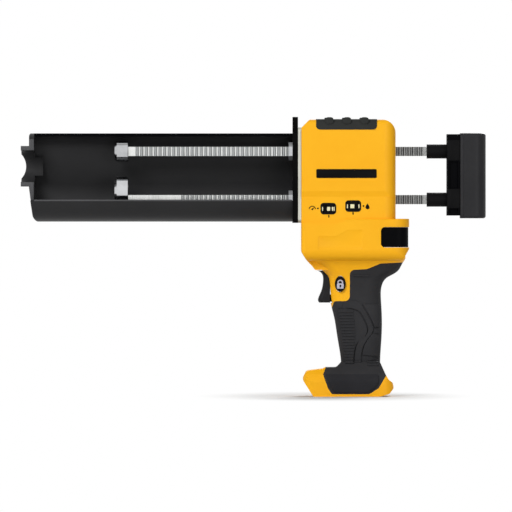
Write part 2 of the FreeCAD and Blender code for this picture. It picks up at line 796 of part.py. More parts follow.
def lock_prism(gap, half):
    """Return the oval of the lock-off button across the tool, widened by a gap."""
    wide = float(d.lock_half_wide) + gap
    high = float(d.lock_half_high) + gap
    centre = V(float(d.lock_x), -float(half), float(lock_z))
    oval = Part.Ellipse(centre + V(0, 0, high), centre + V(wide, 0, 0), centre)
    return Part.Face(Part.Wire(oval.toShape())).extrude(V(0, 2 * float(half), 0))


def trigger_slot():
    """Return the slot in the neck for the trigger and its stem."""
    half = d.trigger_half + d.slide_gap
    rear = d.trigger_back + d.trigger_travel + d.slide_gap
    drops = [drop for drop, front in TRIGGER_STATIONS]
    heights = (bulge_floor - max(drops) - 0.3, bulge_floor - min(drops) + 1.0)
    slot = solid_box((rear - 60, rear), (-half, half), heights)
    stem_half = STEM_HALF + float(d.slide_gap)
    stem = solid_box((-30, 0), (-stem_half, stem_half), (STEM_LOW - 0.6, STEM_TOP + 0.6))
    return slot.fuse(stem)


def release_window():
    """Return the cutter of the release window, open to the rear."""
    front = float(d.release_front)
    low = float(release_low)
    top = float(release_top)
    rear = float(d.bulge_rear) + 10
    profile = [(front, low, 4.4), (rear, low, 0), (rear, top, 0), (front, top, 4.4)]
    return side_prism(profile, d.bulge_half + 5)


def battery_dock():
    """Return the cutter of the battery dock: a slot with rails, open below and to the front."""
    front = d.foot_front - 5
    room = solid_box((front, d.dock_rear), (-d.dock_half, d.dock_half), (d.rail_depth, d.dock_depth))
    mouth = solid_box((front, d.dock_rear), (-d.dock_mouth, d.dock_mouth), (-5, d.rail_depth))
    return room.fuse(mouth)


def side_panels():
    """Return the shallow panel recesses in both sides of the motor housing."""
    low = float(bulge_floor) + 12.5
    top = float(bulge_step) - 14.5
    rise = float(shelf_z) - 12
    front = d.panel_front
    rear = d.panel_rear
    upper_step = d.step_x + d.step_run + 1
    profile = [
        (front, low, 2),
        (rear, low, 2),
        (rear, rise, 2),
        (upper_step, rise, 6),
        (d.step_x, top, 6),
        (front, top, 2),
    ]
    prism = side_prism(profile, d.bulge_half + 5)
    middle = d.bulge_half - d.panel_deep
    core = solid_box((front - 1, rear + 1), (-middle, middle), (low - 1, rise + 1))
    return prism.cut(core)


def screw_bosses():
    """Return the rods of the screw bosses across the tool."""
    reach = float(d.bulge_half)
    return [solid_rod(d.boss_r, -reach, reach, "Y", x, z) for x, z, seat in HOUSING_SCREWS]


def screw_holes():
    """Return the cutters of the screw holes with their head recesses on the right side."""
    shank = float(d.screw_r + d.seat_gap)
    head = float(d.screw_head_r + d.slide_gap)
    reach = float(d.bulge_half) + 5
    cutters = []
    for x, z, seat in HOUSING_SCREWS:
        cutters.append(solid_rod(shank, SCREW_TIP_Y - 0.5, float(seat) + 1, "Y", x, z))
        cutters.append(solid_rod(head, float(seat), reach, "Y", x, z))
    return cutters


def rack_holes():
    """Return the cutters of the holes for the rack bushes and racks in the front and rear walls."""
    cutters = []
    for height in (upper_rack_z, lower_rack_z):
        spigot = d.bush_spigot_r + d.seat_gap
        cutters.append(solid_rod(spigot, float(d.body_front) - 2, float(inner_front) + 1, "X", 0, height))
        room = d.rack_size * 0.78
        cutters.append(solid_rod(room, float(inner_rear) - 2, float(d.body_rear) + 2, "X", 0, height))
    for y, z in carriage_spots():
        hole = d.screw_r + d.seat_gap
        cutters.append(solid_rod(hole, float(d.body_front) - 2, float(inner_front) + 1, "X", y, z))
    return cutters


def carriage_spots():
    """Return the places of the carriage screws across and up the front plate."""
    across = d.plate_half - 12
    low = plate_low + 14.3
    high = plate_top - 20.2
    return [(-across, low), (across, low), (-across, high), (across, high)]


def make_housing():
    """Make the two housing halves and the two grips, which meet along the middle plane."""
    wall = float(d.wall)
    band_level = float(band_top)
    outside = upper_block(0, band_level)
    outside = outside.fuse([band_block(0), bulge_block(0), handle_loft(0), hood_block(), foot_block(0)])
    rooms = [
        upper_block(wall, band_level + wall),
        band_block(wall),
        bulge_block(wall),
        handle_loft(float(d.grip_skin) + wall),
        solid_box((-26, 28), (-25, 25), (d.dock_depth + 3, d.dock_depth + 11)),
        solid_box((-12, 30), (-16, 16), (float(bulge_floor) - 6, float(bulge_floor) + wall + 3)),
    ]
    grip = grip_shell()
    holes = screw_holes()
    hollow = outside.cut(rooms)
    bosses = [boss.common(outside) for boss in screw_bosses()]
    cutters = rack_holes() + holes
    cutters += [window_cut(d.speed_x, speed_z), window_cut(d.drip_x, drip_z)]
    cutters += [lock_prism(float(d.slide_gap), 60), trigger_slot(), release_window(), battery_dock(), side_panels()]
    skin = upper_block(-5.0, band_level).cut(upper_block(float(d.bumper_skin), band_level - 1))
    cutters.append(skin.common(bumper_region()))
    cutters.append(grip)
    shell = hollow.fuse(bosses).cut(cutters)
    grip = grip.cut(holes + [trigger_slot()])
    feature("left_housing", main_solid(shell.common(half_space(True))))
    feature("right_housing", main_solid(shell.common(half_space(False))))
    feature("left_grip", main_solid(grip.common(half_space(True))))
    feature("right_grip", main_solid(grip.common(half_space(False))))


def main_solid(shape):
    """Return the one large solid of a shape, and stop if a second one is more than a sliver."""
    solids = sorted(shape.Solids, key=lambda solid: solid.Volume, reverse=True)
    for loose in solids[1:]:
        if loose.Volume > 30:
            raise ValueError("loose solid of %.1f mm3 at %s" % (loose.Volume, loose.CenterOfMass))
    return solids[0]


def make_top_bumper():
    """Make the rubber bumper that saddles the top, with its ribs."""
    low = float(band_top)
    proud = 0.6
    skin = upper_block(-proud, low).cut(upper_block(float(d.bumper_skin), low - 1))
    saddle = skin.common(bumper_region())
    ribs = []
    middle = float(d.bumper_front + d.bumper_rear) / 2
    rib_half = float(d.rib_half)
    spacing = float(d.rib_spacing)
    across = float(d.upper_half) - 5
    for place_number in (-1, 0, 1):
        x = middle + place_number * spacing
        plan = [
            (x - rib_half, -across, 3),
            (x + rib_half, -across, 3),
            (x + rib_half, across, 3),
            (x - rib_half, across, 3),
        ]
        ribs.append(plan_prism(plan, float(body_top) - 0.5, bumper_crown))
    feature("top_bumper", main_solid(saddle.fuse(ribs).removeSplitter()))


def tray_outline(shrink):
    """Return the end outline of the tray: a large and a small round joined by tangent lines."""
    low_z = float(tray_low_z)
    low_r = float(d.tray_low_radius)
    high_r = float(d.tray_high_radius)
    high_z = float(tray_high_z)
    tilt = math.asin((low_r - high_r) / (high_z - low_z))
    low_r -= shrink
    high_r -= shrink
    spots = []
    for side in (1, -1):
        across = V(0, side * math.cos(tilt), math.sin(tilt))
        spots.append((V(0, 0, low_z) + across * low_r, V(0, 0, high_z) + across * high_r))
    right, left = spots
    edges = [
        Part.LineSegment(right[0], right[1]).toShape(),
        Part.Arc(right[1], V(0, 0, high_z + high_r), left[1]).toShape(),
        Part.LineSegment(left[1], left[0]).toShape(),
        Part.Arc(left[0], V(0, 0, low_z - low_r), right[0]).toShape(),
    ]
    return Part.Face(Part.Wire(edges))


# The round of a tray corner runs this far past the skin, so that it crosses the skin at an angle.
CORNER_OVERRUN = 0.8


def tray_solid(shrink, front, rear, low_corner, high_corner):
    """Return the tray's full round section between two stations, with its front corners rounded."""
    prism = tray_outline(shrink).extrude(V(rear - front, 0, 0))
    prism.translate(V(front, 0, 0))
    low = float(tray_low_z - d.tray_low_radius) + shrink - CORNER_OVERRUN
    top = float(tray_high_z + d.tray_high_radius) - shrink + CORNER_OVERRUN
    side = [
        (front + float(d.nose_lean), low, low_corner),
        (rear, low, 0),
        (rear, top, 0),
        (front, top, high_corner),
        (front, low + float(d.nose_lean_high), 2 * low_corner),
    ]
    return prism.common(side_prism(side, d.tray_low_radius + 5))


def make_cartridge_tray():
    """Make the tray: a C section open to the left, a front wall and the half-ring nozzle collar."""
    front = float(tray_front)
    rear = float(carrier_front)
    skin = float(d.tray_skin)
    inside_front = front + float(d.front_wall)
    shell = tray_solid(0, front, rear, 9, 4).cut(tray_solid(skin, inside_front, rear + 5, 7, 2))
    lip = float(tray_lip)
    top = float(tray_high_z + d.tray_high_radius) + 5
    shell = shell.cut(solid_box((inside_front, rear + 5), (-60, -3), (lip, top)))
    shell = shell.cut(solid_box((front - 5, inside_front), (-60, -float(d.collar_reach)), (lip, top)))
    centre = float(collar_z)
    nose = front - float(d.collar_nose)
    tail = inside_front + float(d.collar_tail)
    bore = float(d.collar_bore)
    reach = float(d.collar_reach)
    outer = float(d.collar_radius)
    ring = solid_rod(outer, nose, tail, "X", 0, centre)
    ring = ring.common(solid_box((nose, tail), (0, outer), (centre - outer, centre + outer)))
    ring = ring.fuse(solid_box((nose, tail), (-reach, 0), (centre - outer, centre + outer)))
    throat = solid_rod(bore, nose - 5, tail + 5, "X", 0, centre)
    throat = throat.fuse(solid_box((nose - 5, tail + 5), (-60, 0), (centre - bore, centre + bore)))
    scoop = solid_rod(outer - 2, -60, 60, "Y", nose - outer + 7, centre)
    ring = ring.cut(scoop)
    tab = float(d.collar_tab)
    for low, high in ((centre - outer, centre - tab), (centre + tab, centre + outer)):
        ring = ring.cut(solid_box((inside_front, tail), (-reach, outer), (low, high)))
    feature("cartridge_tray", main_solid(shell.fuse(ring).cut(throat).removeSplitter()))


def rack_bores(radius):
    """Return round holes for both racks in a plate across the tool."""
    return [(as_size(0), upper_rack_z, radius), (as_size(0), lower_rack_z, radius)]


def make_front_plates():
    """Make the bare steel front plate and the black carriage plate ahead of it."""
    bores = rack_bores(d.bush_spigot_r + d.seat_gap)
    screws = [(y, z, d.screw_r + d.seat_gap) for y, z in carriage_spots()]
    half = d.plate_half
    outline = [(-half, plate_low), (half, plate_low), (half, plate_top), (-half, plate_top)]
    plate = plate_body("front_plate", "YZ_Plane", plate_front, d.body_front, outline, bores + screws)
    round_edges(plate, X_AXIS, 4, "front_plate_corners")
    shoulder = carrier_top
    outline = [
        (-half, plate_low),
        (half, plate_low),
        (half, shoulder - 12),
        (d.tab_half + 8, shoulder),
        (d.tab_half, shoulder),
        (d.tab_half, tab_top),
        (-d.tab_half, tab_top),
        (-d.tab_half, shoulder),
        (-d.tab_half - 8, shoulder),
        (-half, shoulder - 12),
    ]
    carrier = plate_body("carriage_plate", "YZ_Plane", carrier_front, plate_front, outline, bores + screws)
    round_edges(carrier, X_AXIS, 3, "carriage_plate_corners")


def rack_bush(name, front_flange, height, flange_start, flange_end, spigot_end):
    """Make one flanged bush with a square bore; the front ones have a hexagon flange."""
    if front_flange:
        flange = doc.addObject("Part::Prism", name + "_flange")
        flange.Polygon = 6
        bind(flange, "Circumradius", d.bush_flange_r)
        bind(flange, "Height", flange_end - flange_start)
        place(flange, flange_start, 0, height, FreeCAD.Rotation(Z_AXIS, X_AXIS))
    else:
        flange = cylinder(name + "_flange", "X", d.bush_flange_r, flange_start, flange_end, as_size(0), height)
    ends = (flange_end, spigot_end) if front_flange else (spigot_end, flange_start)
    spigot = cylinder(name + "_spigot", "X", d.bush_spigot_r, ends[0], ends[1], as_size(0), height)
    half = rack_half + d.fit_gap
    low = flange_start if front_flange else spigot_end
    high = spigot_end if front_flange else flange_end
    bore = box(name + "_bore", (low - 1, high + 1), (-half, half), (height - half, height + half))
    return cut(name, fuse(name + "_blank", [flange, spigot]), [bore])


def make_rack_bushes():
    """Make the front bushes through the plates and the rear bushes in the rear plate."""
    front = []
    rear = []
    flange_rear = rear_plate_x + d.rear_plate_deep
    for label, height in (("upper", upper_rack_z), ("lower", lower_rack_z)):
        start = carrier_front - d.bush_flange
        front.append(rack_bush(label + "_front_bush", True, height, start, carrier_front, inner_front + 1.5))
        rear.append(rack_bush(label + "_rear_bush", False, height, flange_rear, inner_rear - 0.3, rear_plate_x))
    group("front_rack_bushes", front)
    group("rear_rack_bushes", rear)


def rack_shape(height, teeth_front, tail_hole, nose_hole):
    """Return a square rack with teeth on its left face and tapped holes in its ends."""
    module = float(d.rack_module)
    pitch = math.pi * module
    half = float(rack_half)
    depth = module * (ADDENDUM + DEDENDUM)
    pitch_line = -half + module * ADDENDUM
    slope = math.tan(PRESSURE_ANGLE)
    gap_half = pitch / 4 + FLANK_PLAY / 2
    mouth = gap_half + (pitch_line + half) * slope
    root = gap_half - (-half + depth - pitch_line) * slope
    front = float(rack_front)
    rear = float(rack_rear)
    first = math.ceil((teeth_front - float(d.shaft_x) + pitch / 2) / pitch)
    last = math.floor((float(teeth_rear) - float(d.shaft_x) - pitch / 2) / pitch)
    points = [V(front, -half, 0)]
    for number in range(first, last + 1):
        middle = float(d.shaft_x) + number * pitch
        points.append(V(middle - mouth, -half, 0))
        points.append(V(middle - root, -half + depth, 0))
        points.append(V(middle + root, -half + depth, 0))
        points.append(V(middle + mouth, -half, 0))
    points += [V(rear, -half, 0), V(rear, half, 0), V(front, half, 0)]
    bar = Part.Face(Part.makePolygon(points + points[:1])).extrude(V(0, 0, 2 * half))
    bar.translate(V(0, 0, float(height) - half))
    holes = [
        solid_rod(nose_hole, front - 1, front + END_HOLE_DEPTH, "X", 0, height),
        solid_rod(tail_hole, rear - END_HOLE_DEPTH, rear + 1, "X", 0, height),
    ]
    return bar.cut(holes)


# Depth of the tapped holes in the rack ends, and the reach of their screws.
END_HOLE_DEPTH = 14.0
END_SCREW_REACH = 12.0


def make_racks():
    """Make the two racks."""
    hole = d.screw_r + d.seat_gap
    upper_teeth = float(rack_front + d.upper_plain)
    lower_teeth = float(rack_front + d.lower_plain)
    feature("upper_rack", rack_shape(upper_rack_z, upper_teeth, hole, hole))
    feature("lower_rack", rack_shape(lower_rack_z, lower_teeth, hole, hole))


def make_piston(name, height, radius):
    """Make a piston turned about its own axis, with a chamfered front and a slightly relieved rear."""
    length = d.piston_length
    outline = [
        (as_size(0), as_size(0)),
        (radius - 0.6, as_size(0)),
        (radius, as_size(0.6)),
        (radius, length - 2.4),
        (radius - 2.0, length),
        (as_size(0), length),
    ]
    return turned_body(name, rack_front, 0, height, -X_AXIS, outline)


def screw(name, x, y, z, direction, reach):
    """Make one screw: its head rests at the given place and its shank runs along a direction."""
    outline = [
        (as_size(0), -d.screw_head),
        (d.screw_head_r, -d.screw_head),
        (d.screw_head_r, as_size(0)),
        (d.screw_r, as_size(0)),
        (d.screw_r, as_size(reach)),
        (as_size(0), as_size(reach)),
    ]
    return turned_body(name, x, y, z, direction, outline)


def make_pistons():
    """Make both pistons with their screw holes, and the screws that hold them on the racks."""
    seat = rack_front - d.piston_length + d.screw_head + 0.6
    screws = []
    pieces = (
        ("upper_piston", upper_rack_z, upper_rack_z, d.upper_piston_r),
        ("lower_piston", lower_piston_z, lower_rack_z, d.lower_piston_r),
    )
    for name, height, rack_z, radius in pieces:
        blank = make_piston(name + "_blank", height, radius)
        nose = rack_front - d.piston_length - 1
        hole = cylinder(name + "_hole", "X", d.screw_r + d.seat_gap, nose, rack_front + 1, as_size(0), rack_z)
        recess = cylinder(name + "_recess", "X", d.screw_head_r + d.seat_gap, nose, seat, as_size(0), rack_z)
        cut(name, blank, [hole, recess])
        reach = rack_front - seat + END_SCREW_REACH
        screws.append(screw(name + "_screw", seat, 0, rack_z, X_AXIS, reach))
    group("piston_screws", screws)


def make_pull_handle():
    """Make the pull handle: a front frame on the rack ends, a hollow rear cover, sleeves and screws."""
    seat = pull_split - d.screw_head - 1.6
    frame_half = d.pull_half - 2
    low = pull_low + 1.7
    top = pull_top - 0.5
    blank = box("pull_frame_blank", (pull_front, pull_split), (-frame_half, frame_half), (low, top))
    tools = []
    sleeves = []
    screws = []
    for label, height in (("upper", upper_rack_z), ("lower", lower_rack_z)):
        half = rack_half + d.seat_gap
        heights = (height - half, height + half)
        tools.append(box(label + "_socket", (pull_front - 1, rack_rear), (-half, half), heights))
        stem = d.screw_r + d.seat_gap
        tools.append(cylinder(label + "_pull_hole", "X", stem, rack_rear - 1, seat + 1, as_size(0), height))
        head = d.screw_head_r + d.seat_gap
        tools.append(cylinder(label + "_pull_recess", "X", head, seat, pull_split + 1, as_size(0), height))
        start = pull_front - d.sleeve_length
        tube = cylinder(label + "_sleeve_tube", "X", d.sleeve_r, start, pull_front, as_size(0), height)
        bore = box(label + "_sleeve_bore", (start - 1, pull_front + 1), (-half, half), heights)
        sleeves.append(cut(label + "_sleeve", tube, [bore]))
        reach = seat - rack_rear + END_SCREW_REACH
        screws.append(screw(label + "_pull_screw", seat, 0, height, -X_AXIS, reach))
    middle = (upper_rack_z + lower_rack_z) / 2
    pocket_half = (upper_rack_z - lower_rack_z) / 2 - 11
    spans = (
        ("middle", middle - pocket_half, middle + pocket_half),
        ("low", low + 2.5, lower_rack_z - 10),
    )
    for label, pocket_low, pocket_top in spans:
        for side, ys in (("left", (-frame_half - 1, 3 - frame_half)), ("right", (frame_half - 3, frame_half + 1))):
            name = "%s_%s_pocket" % (label, side)
            tools.append(box(name, (pull_front + 2.5, pull_split - 2.5), ys, (pocket_low, pocket_top)))
    cut("pull_handle_frame", blank, tools)
    group("rack_sleeves", sleeves)
    group("pull_handle_screws", screws)
    make_pull_cover()


def make_pull_cover():
    """Make the hollow rear cover of the pull handle, rounded in plan."""
    half = d.pull_half
    outline = [(pull_split, -half), (pull_rear, -half), (pull_rear, half), (pull_split, half)]
    body = doc.addObject("PartDesign::Body", "pull_handle_cover")
    sketch = sketch_on(body, "pull_cover_sketch", "XY_Plane", pull_low - 1.3)
    draw_polygon(sketch, outline)
    pad = body.newObject("PartDesign::Pad", "pull_cover_pad")
    pad.Profile = sketch
    bind(pad, "Length", pull_top - pull_low + 1.9)
    body.Tip = pad
    doc.recompute()
    names = []
    for number, edge in enumerate(pad.Shape.Edges, start=1):
        upright = abs(edge.Vertexes[0].Point.z - edge.Vertexes[1].Point.z) > 1
        if upright and edge.CenterOfMass.x > float(pull_split) + 1:
            names.append("Edge%d" % number)
    fillet = body.newObject("PartDesign::Fillet", "pull_cover_rear")
    fillet.Base = (pad, names)
    bind(fillet, "Radius", half - 5)
    body.Tip = fillet
    doc.recompute()
    names = []
    for number, edge in enumerate(fillet.Shape.Edges, start=1):
        level = edge.BoundBox.ZLength < 0.01
        if level and edge.CenterOfMass.x > float(pull_split) + 1:
            names.append("Edge%d" % number)
    ends = body.newObject("PartDesign::Fillet", "pull_cover_ends")
    ends.Base = (fillet, names)
    bind(ends, "Radius", d.pull_round)
    body.Tip = ends
    doc.recompute()
    skin = 3
    room = sketch_on(body, "pull_cover_room", "XY_Plane", pull_low - 1.3 + skin)
    inner = half - skin - 2
    draw_rectangle(room, (pull_split, pull_rear - 9), (-inner, inner))
    pocket = body.newObject("PartDesign::Pocket", "pull_cover_pocket")
    pocket.Profile = room
    pocket.Reversed = True
    bind(pocket, "Length", pull_top - pull_low + 1.9 - 2 * skin)
    body.Tip = pocket


def gear_face_shape(teeth, module, phase):
    """Return a flat spur gear outline about the origin, with one tooth centred at the phase angle."""
    pitch_r = module * teeth / 2
    base_r = pitch_r * math.cos(PRESSURE_ANGLE)
    tip_r = pitch_r + module * ADDENDUM
    root_r = pitch_r - module * DEDENDUM
    half_pitch = math.pi / (2 * teeth) - FLANK_PLAY / (2 * pitch_r)
    rolled = math.tan(PRESSURE_ANGLE) - PRESSURE_ANGLE
    start_r = max(base_r, root_r)
    steps = 4
    flank = []
    if root_r < base_r:
        flank.append((root_r, half_pitch + rolled))
    for step in range(steps + 1):
        radius = start_r + (tip_r - start_r) * step / steps
        along = math.acos(min(base_r / radius, 1))
        flank.append((radius, half_pitch + rolled - (math.tan(along) - along)))
    points = []
    for tooth in range(teeth):
        middle = phase + 2 * math.pi * tooth / teeth
        outline = [(radius, middle - angle) for radius, angle in flank]
        outline += [(radius, middle + angle) for radius, angle in reversed(flank)]
        points += [V(radius * math.cos(angle), radius * math.sin(angle), 0) for radius, angle in outline]
    return Part.Face(Part.makePolygon(points + points[:1]))


def gear_solid(teeth, module, phase, x, y, low, top):
    """Return a spur gear blank about an upright axis between two heights."""
    solid = gear_face_shape(teeth, float(module), phase).extrude(V(0, 0, float(top) - float(low)))
    solid.translate(V(float(x), float(y), float(low)))
    return solid


def make_drive_shaft():
    """Make the drive shaft with its two rack pinions, drive gear and bearings."""
    top = top_plate_z + d.top_plate_deep
    cylinder("drive_shaft", "Z", d.shaft_r, gear_plate_z, top, d.shaft_x, shaft_y)
    towards_rack = math.pi / 2
    bore = solid_rod(d.shaft_r + d.seat_gap, float(gear_plate_z), float(top), "Z", d.shaft_x, shaft_y)
    overhang = 0.5
    for name, height in (("upper_pinion", upper_rack_z), ("lower_pinion", lower_rack_z)):
        low = height - rack_half - overhang
        high = height + rack_half + overhang
        blank = gear_solid(RACK_PINION_TEETH, d.rack_module, towards_rack, d.shaft_x, shaft_y, low, high)
        feature(name, blank.cut(bore))
    gear_top = drive_gear_z + d.gear_face
    blank = gear_solid(DRIVE_GEAR_TEETH, d.gear_module, towards_rack, d.shaft_x, shaft_y, drive_gear_z, gear_top)
    feature("drive_gear", blank.cut(bore))
    rings = []
    for label, low, high in (("lower", gear_plate_z, gear_plate_top), ("upper", top_plate_z, top)):
        ring = cylinder(label + "_bearing_ring", "Z", d.bearing_r, low, high, d.shaft_x, shaft_y)
        hole_r = d.shaft_r + d.fit_gap
        hole = cylinder(label + "_bearing_hole", "Z", hole_r, low - 1, high + 1, d.shaft_x, shaft_y)
        rings.append(cut(label + "_bearing", ring, [hole]))
    group("shaft_bearings", rings)


def make_reduction():
    """Make the compound idler on its pin, and the motor with its shaft and pinion."""
    wheel_top = idler_wheel_z + d.gear_face
    cylinder("idler_pin", "Z", d.idler_pin_r, gear_plate_z, wheel_top + 1, d.shaft_x, idler_y)
    towards_shaft = -math.pi / 2 + math.pi / IDLER_PINION_TEETH
    low = gear_plate_top + 0.3
    small = gear_solid(IDLER_PINION_TEETH, d.gear_module, towards_shaft, d.shaft_x, idler_y, low, idler_wheel_z)
    towards_motor = math.atan2(-float(motor_drop), -motor_reach)
    wheel = gear_solid(
        IDLER_WHEEL_TEETH, d.motor_module, towards_motor, d.shaft_x, idler_y, idler_wheel_z, wheel_top
    )
    pin_room = d.idler_pin_r + d.fit_gap
    bore = solid_rod(pin_room, float(gear_plate_z), float(wheel_top) + 1, "Z", d.shaft_x, idler_y)
    feature("idler_gear", small.fuse(wheel).cut(bore))
    back = towards_motor + math.pi + math.pi / MOTOR_PINION_TEETH
    pinion = gear_solid(MOTOR_PINION_TEETH, d.motor_module, back, motor_x, d.motor_y, idler_wheel_z, wheel_top)
    shaft_room = d.motor_shaft_r + d.seat_gap
    shaft_hole = solid_rod(shaft_room, float(gear_plate_z), float(wheel_top) + 1, "Z", motor_x, d.motor_y)
    feature("motor_pinion", pinion.cut(shaft_hole))
    motor_low = gear_plate_z - d.motor_length
    shaft_low = motor_low + 4
    cylinder("motor_shaft", "Z", d.motor_shaft_r, shaft_low, wheel_top + 0.5, motor_x, d.motor_y)
    can = cylinder("motor_blank", "Z", d.motor_r, motor_low, gear_plate_z, motor_x, d.motor_y)
    hole_r = d.motor_shaft_r + d.fit_gap
    hole = cylinder("motor_hole", "Z", hole_r, shaft_low - 0.1, gear_plate_z + 1, motor_x, d.motor_y)
    cut("motor_can", can, [hole])


def make_gear_frame():
    """Make the gear plate, top bearing plate, rear plate and the bar that backs the racks."""
    half = d.chassis_half
    front = inner_front + d.slide_gap
    rear = rear_plate_x + d.rear_plate_deep
    outline = [(front, -half), (rear, -half), (rear, half), (front, half)]
    bearing = (d.shaft_x, shaft_y, d.bearing_r + d.seat_gap)
    pin = (d.shaft_x, idler_y, d.idler_pin_r + d.seat_gap)
    motor = (motor_x, d.motor_y, d.motor_shaft_r + 0.6)
    plate_body("gear_plate", "XY_Plane", gear_plate_z, gear_plate_top, outline, [bearing, pin, motor])
    top = top_plate_z + d.top_plate_deep
    plate_body("top_bearing_plate", "XY_Plane", top_plate_z, top, outline, [bearing])
    upright = [(-half, gear_plate_top), (half, gear_plate_top), (half, top_plate_z), (-half, top_plate_z)]
    bores = rack_bores(d.bush_spigot_r + d.seat_gap)
    plate_body("rear_plate", "YZ_Plane", rear_plate_x, rear, upright, bores)
    guide_half = 8
    back = rack_half + d.fit_gap
    low = idler_wheel_z + d.gear_face + 2
    xs = (d.shaft_x - guide_half, d.shaft_x + guide_half)
    box("rack_guide", xs, (back, back + 5), (low, top_plate_z))


def make_trigger():
    """Make the trigger, lofted through rounded sections, with its stem."""
    half = float(d.trigger_half)
    back = float(d.trigger_back)
    wires = []
    for drop, front in TRIGGER_STATIONS:
        height = float(bulge_floor) - drop
        spots = [(front, -half), (back, -half), (back, half), (front, half)]
        corner = min(half - 1, back - front - 2) * 0.6
        wires.append(rounded_wire([V(x, y, height) for x, y in spots], [corner, 0.8, 0.8, corner]))
    body = Part.makeLoft(wires, True, False)
    stem_end = float(d.switch_front - d.trigger_travel - 0.5)
    stem = solid_box((back - 3, stem_end), (-STEM_HALF, STEM_HALF), (STEM_LOW, STEM_TOP))
    feature("trigger", main_solid(body.fuse(stem)))


def make_lock_button():
    """Make the oval lock-off button, which runs across the neck and stands out on the left."""
    outside = float(d.grip_half) + 0.5
    left = -outside - float(d.lock_stand)
    right = outside - 1
    span = d.lock_half_high * 2
    slab = solid_box((d.lock_x - span, d.lock_x + span), (left, right), (lock_z - span, lock_z + span))
    bar = lock_prism(0, 2 * outside).common(slab)
    ends = [edge for edge in bar.Edges if abs(edge.BoundBox.YLength) < 1e-6]
    feature("lock_button", bar.makeFillet(1.0, ends))


def make_slider(name, x, z, shift):
    """Make one slide switch: a ribbed knob in the bezel's opening and a carrier behind its flange."""
    face = -d.band_half
    behind = face + d.wall + d.bezel_flange + 0.2
    knob_x = x + shift
    half = d.knob_wide / 2
    high = d.window_high / 2 - d.bezel_rim - d.slide_gap
    knob = box(name + "_knob", (knob_x - half, knob_x + half), (face + 0.3, behind + 1), (z - high, z + high))
    wide = half + 5
    tall = high + 1.5
    carrier_ys = (behind, behind + 1.2)
    carrier = box(name + "_carrier", (knob_x - wide, knob_x + wide), carrier_ys, (z - tall, z + tall))
    parts = [knob, carrier]
    for number in (-1, 0, 1):
        rib_x = knob_x + number * (d.knob_wide / 3)
        parts.append(box("%s_rib_%d" % (name, number + 1), (rib_x - 0.55, rib_x + 0.55), (face - 0.5, face + 1),
                         (z - high, z + high)))
    return fuse(name, parts)


def make_switches():
    """Make the two slide switches and their bezels."""
    travel = d.knob_travel / 2
    make_slider("speed_slider", d.speed_x, speed_z, travel)
    make_slider("drip_slider", d.drip_x, drip_z, -travel)
    face = -d.band_half
    inner = face + d.wall
    bezels = []
    for label, x, z in (("speed", d.speed_x, speed_z), ("drip", d.drip_x, drip_z)):
        half = d.window_wide / 2 - d.seat_gap
        high = d.window_high / 2 - d.seat_gap
        shape = window_cut(x, z).common(solid_box((x - half - 1, x + half + 1), (face - 0.4, inner), (z - high - 1, z + high + 1)))
        frame = feature(label + "_bezel_frame", shape)
        lip = 1.5
        flange_ys = (inner, inner + d.bezel_flange)
        flange = box(label + "_bezel_flange", (x - half - lip, x + half + lip), flange_ys, (z - high - lip, z + high + lip))
        rim = d.bezel_rim
        hole_ys = (face - 2, inner + d.bezel_flange + 1)
        hole = box(label + "_bezel_hole", (x - half + rim, x + half - rim), hole_ys, (z - high + rim, z + high - rim))
        bezels.append(cut(label + "_bezel", fuse(label + "_bezel_blank", [frame, flange]), [hole]))
    group("switch_bezels", bezels)


def make_release_button():
    """Make the release button: two cheeks under the side walls, joined across the rear."""
    gap = float(d.slide_gap)
    half = float(d.bulge_half - d.wall) - gap
    rear = float(release_rear)
    front = float(d.release_front) - 6
    low = float(release_low) + gap
    top = float(release_top) - gap
    outer = [(front, -half, 0), (rear, -half, 13), (rear, half, 13), (front, half, 0)]
    cheek = 3.2
    room = half - cheek
    inner = [(front - 5, -room, 0), (rear - 5, -room, 9), (rear - 5, room, 9), (front - 5, room, 0)]
    feature("release_button", plan_prism(outer, low, top).cut(plan_prism(inner, low - 1, top + 1)))


def make_electrics():
    """Make the switch module, control board, terminal block and terminal blades."""
    handle_room = d.grip_half - d.grip_skin - d.wall
    half = handle_room - 1.2
    board_half = as_size(0.8)
    boss_x, boss_z, boss_seat = HOUSING_SCREWS[-1]
    module_low = bulge_floor - 63
    xs = (d.switch_front, d.switch_front + d.switch_deep)
    box("switch_module", xs, (-half, half), (module_low, module_low + d.switch_high))
    board_low = boss_z + d.boss_r + 0.3
    box("control_board", (as_size(0), as_size(24)), (-board_half, board_half), (board_low, module_low - 0.3))
    block_front = d.dock_rear - 22
    block_half = d.dock_half / 2
    box("terminal_block", (block_front, d.dock_rear), (-block_half, block_half), (d.dock_depth - 6, d.dock_depth))
    blades = []
    for number in range(5):
        y = d.dock_half * (0.2 * (number - 2))
        ys = (y - 0.4, y + 0.4)
        zs = (d.dock_depth - 5.5, d.dock_depth - 1)
        blades.append(box("blade_%d" % (number + 1), (block_front - 12, block_front), ys, zs))
    group("terminal_blades", blades)


def make_screws():
    """Make the housing screws and the carriage screws."""
    screws = []
    for number, (x, z, seat) in enumerate(HOUSING_SCREWS, start=1):
        screws.append(screw("housing_screw_%d" % number, x, seat, z, -Y_AXIS, seat - SCREW_TIP_Y))
    group("housing_screws", screws)
    screws = []
    reach = inner_front - carrier_front - 1
    for number, (y, z) in enumerate(carriage_spots(), start=1):
        screws.append(screw("carriage_screw_%d" % number, inner_front, y, z, -X_AXIS, reach))
    group("carriage_screws", screws)


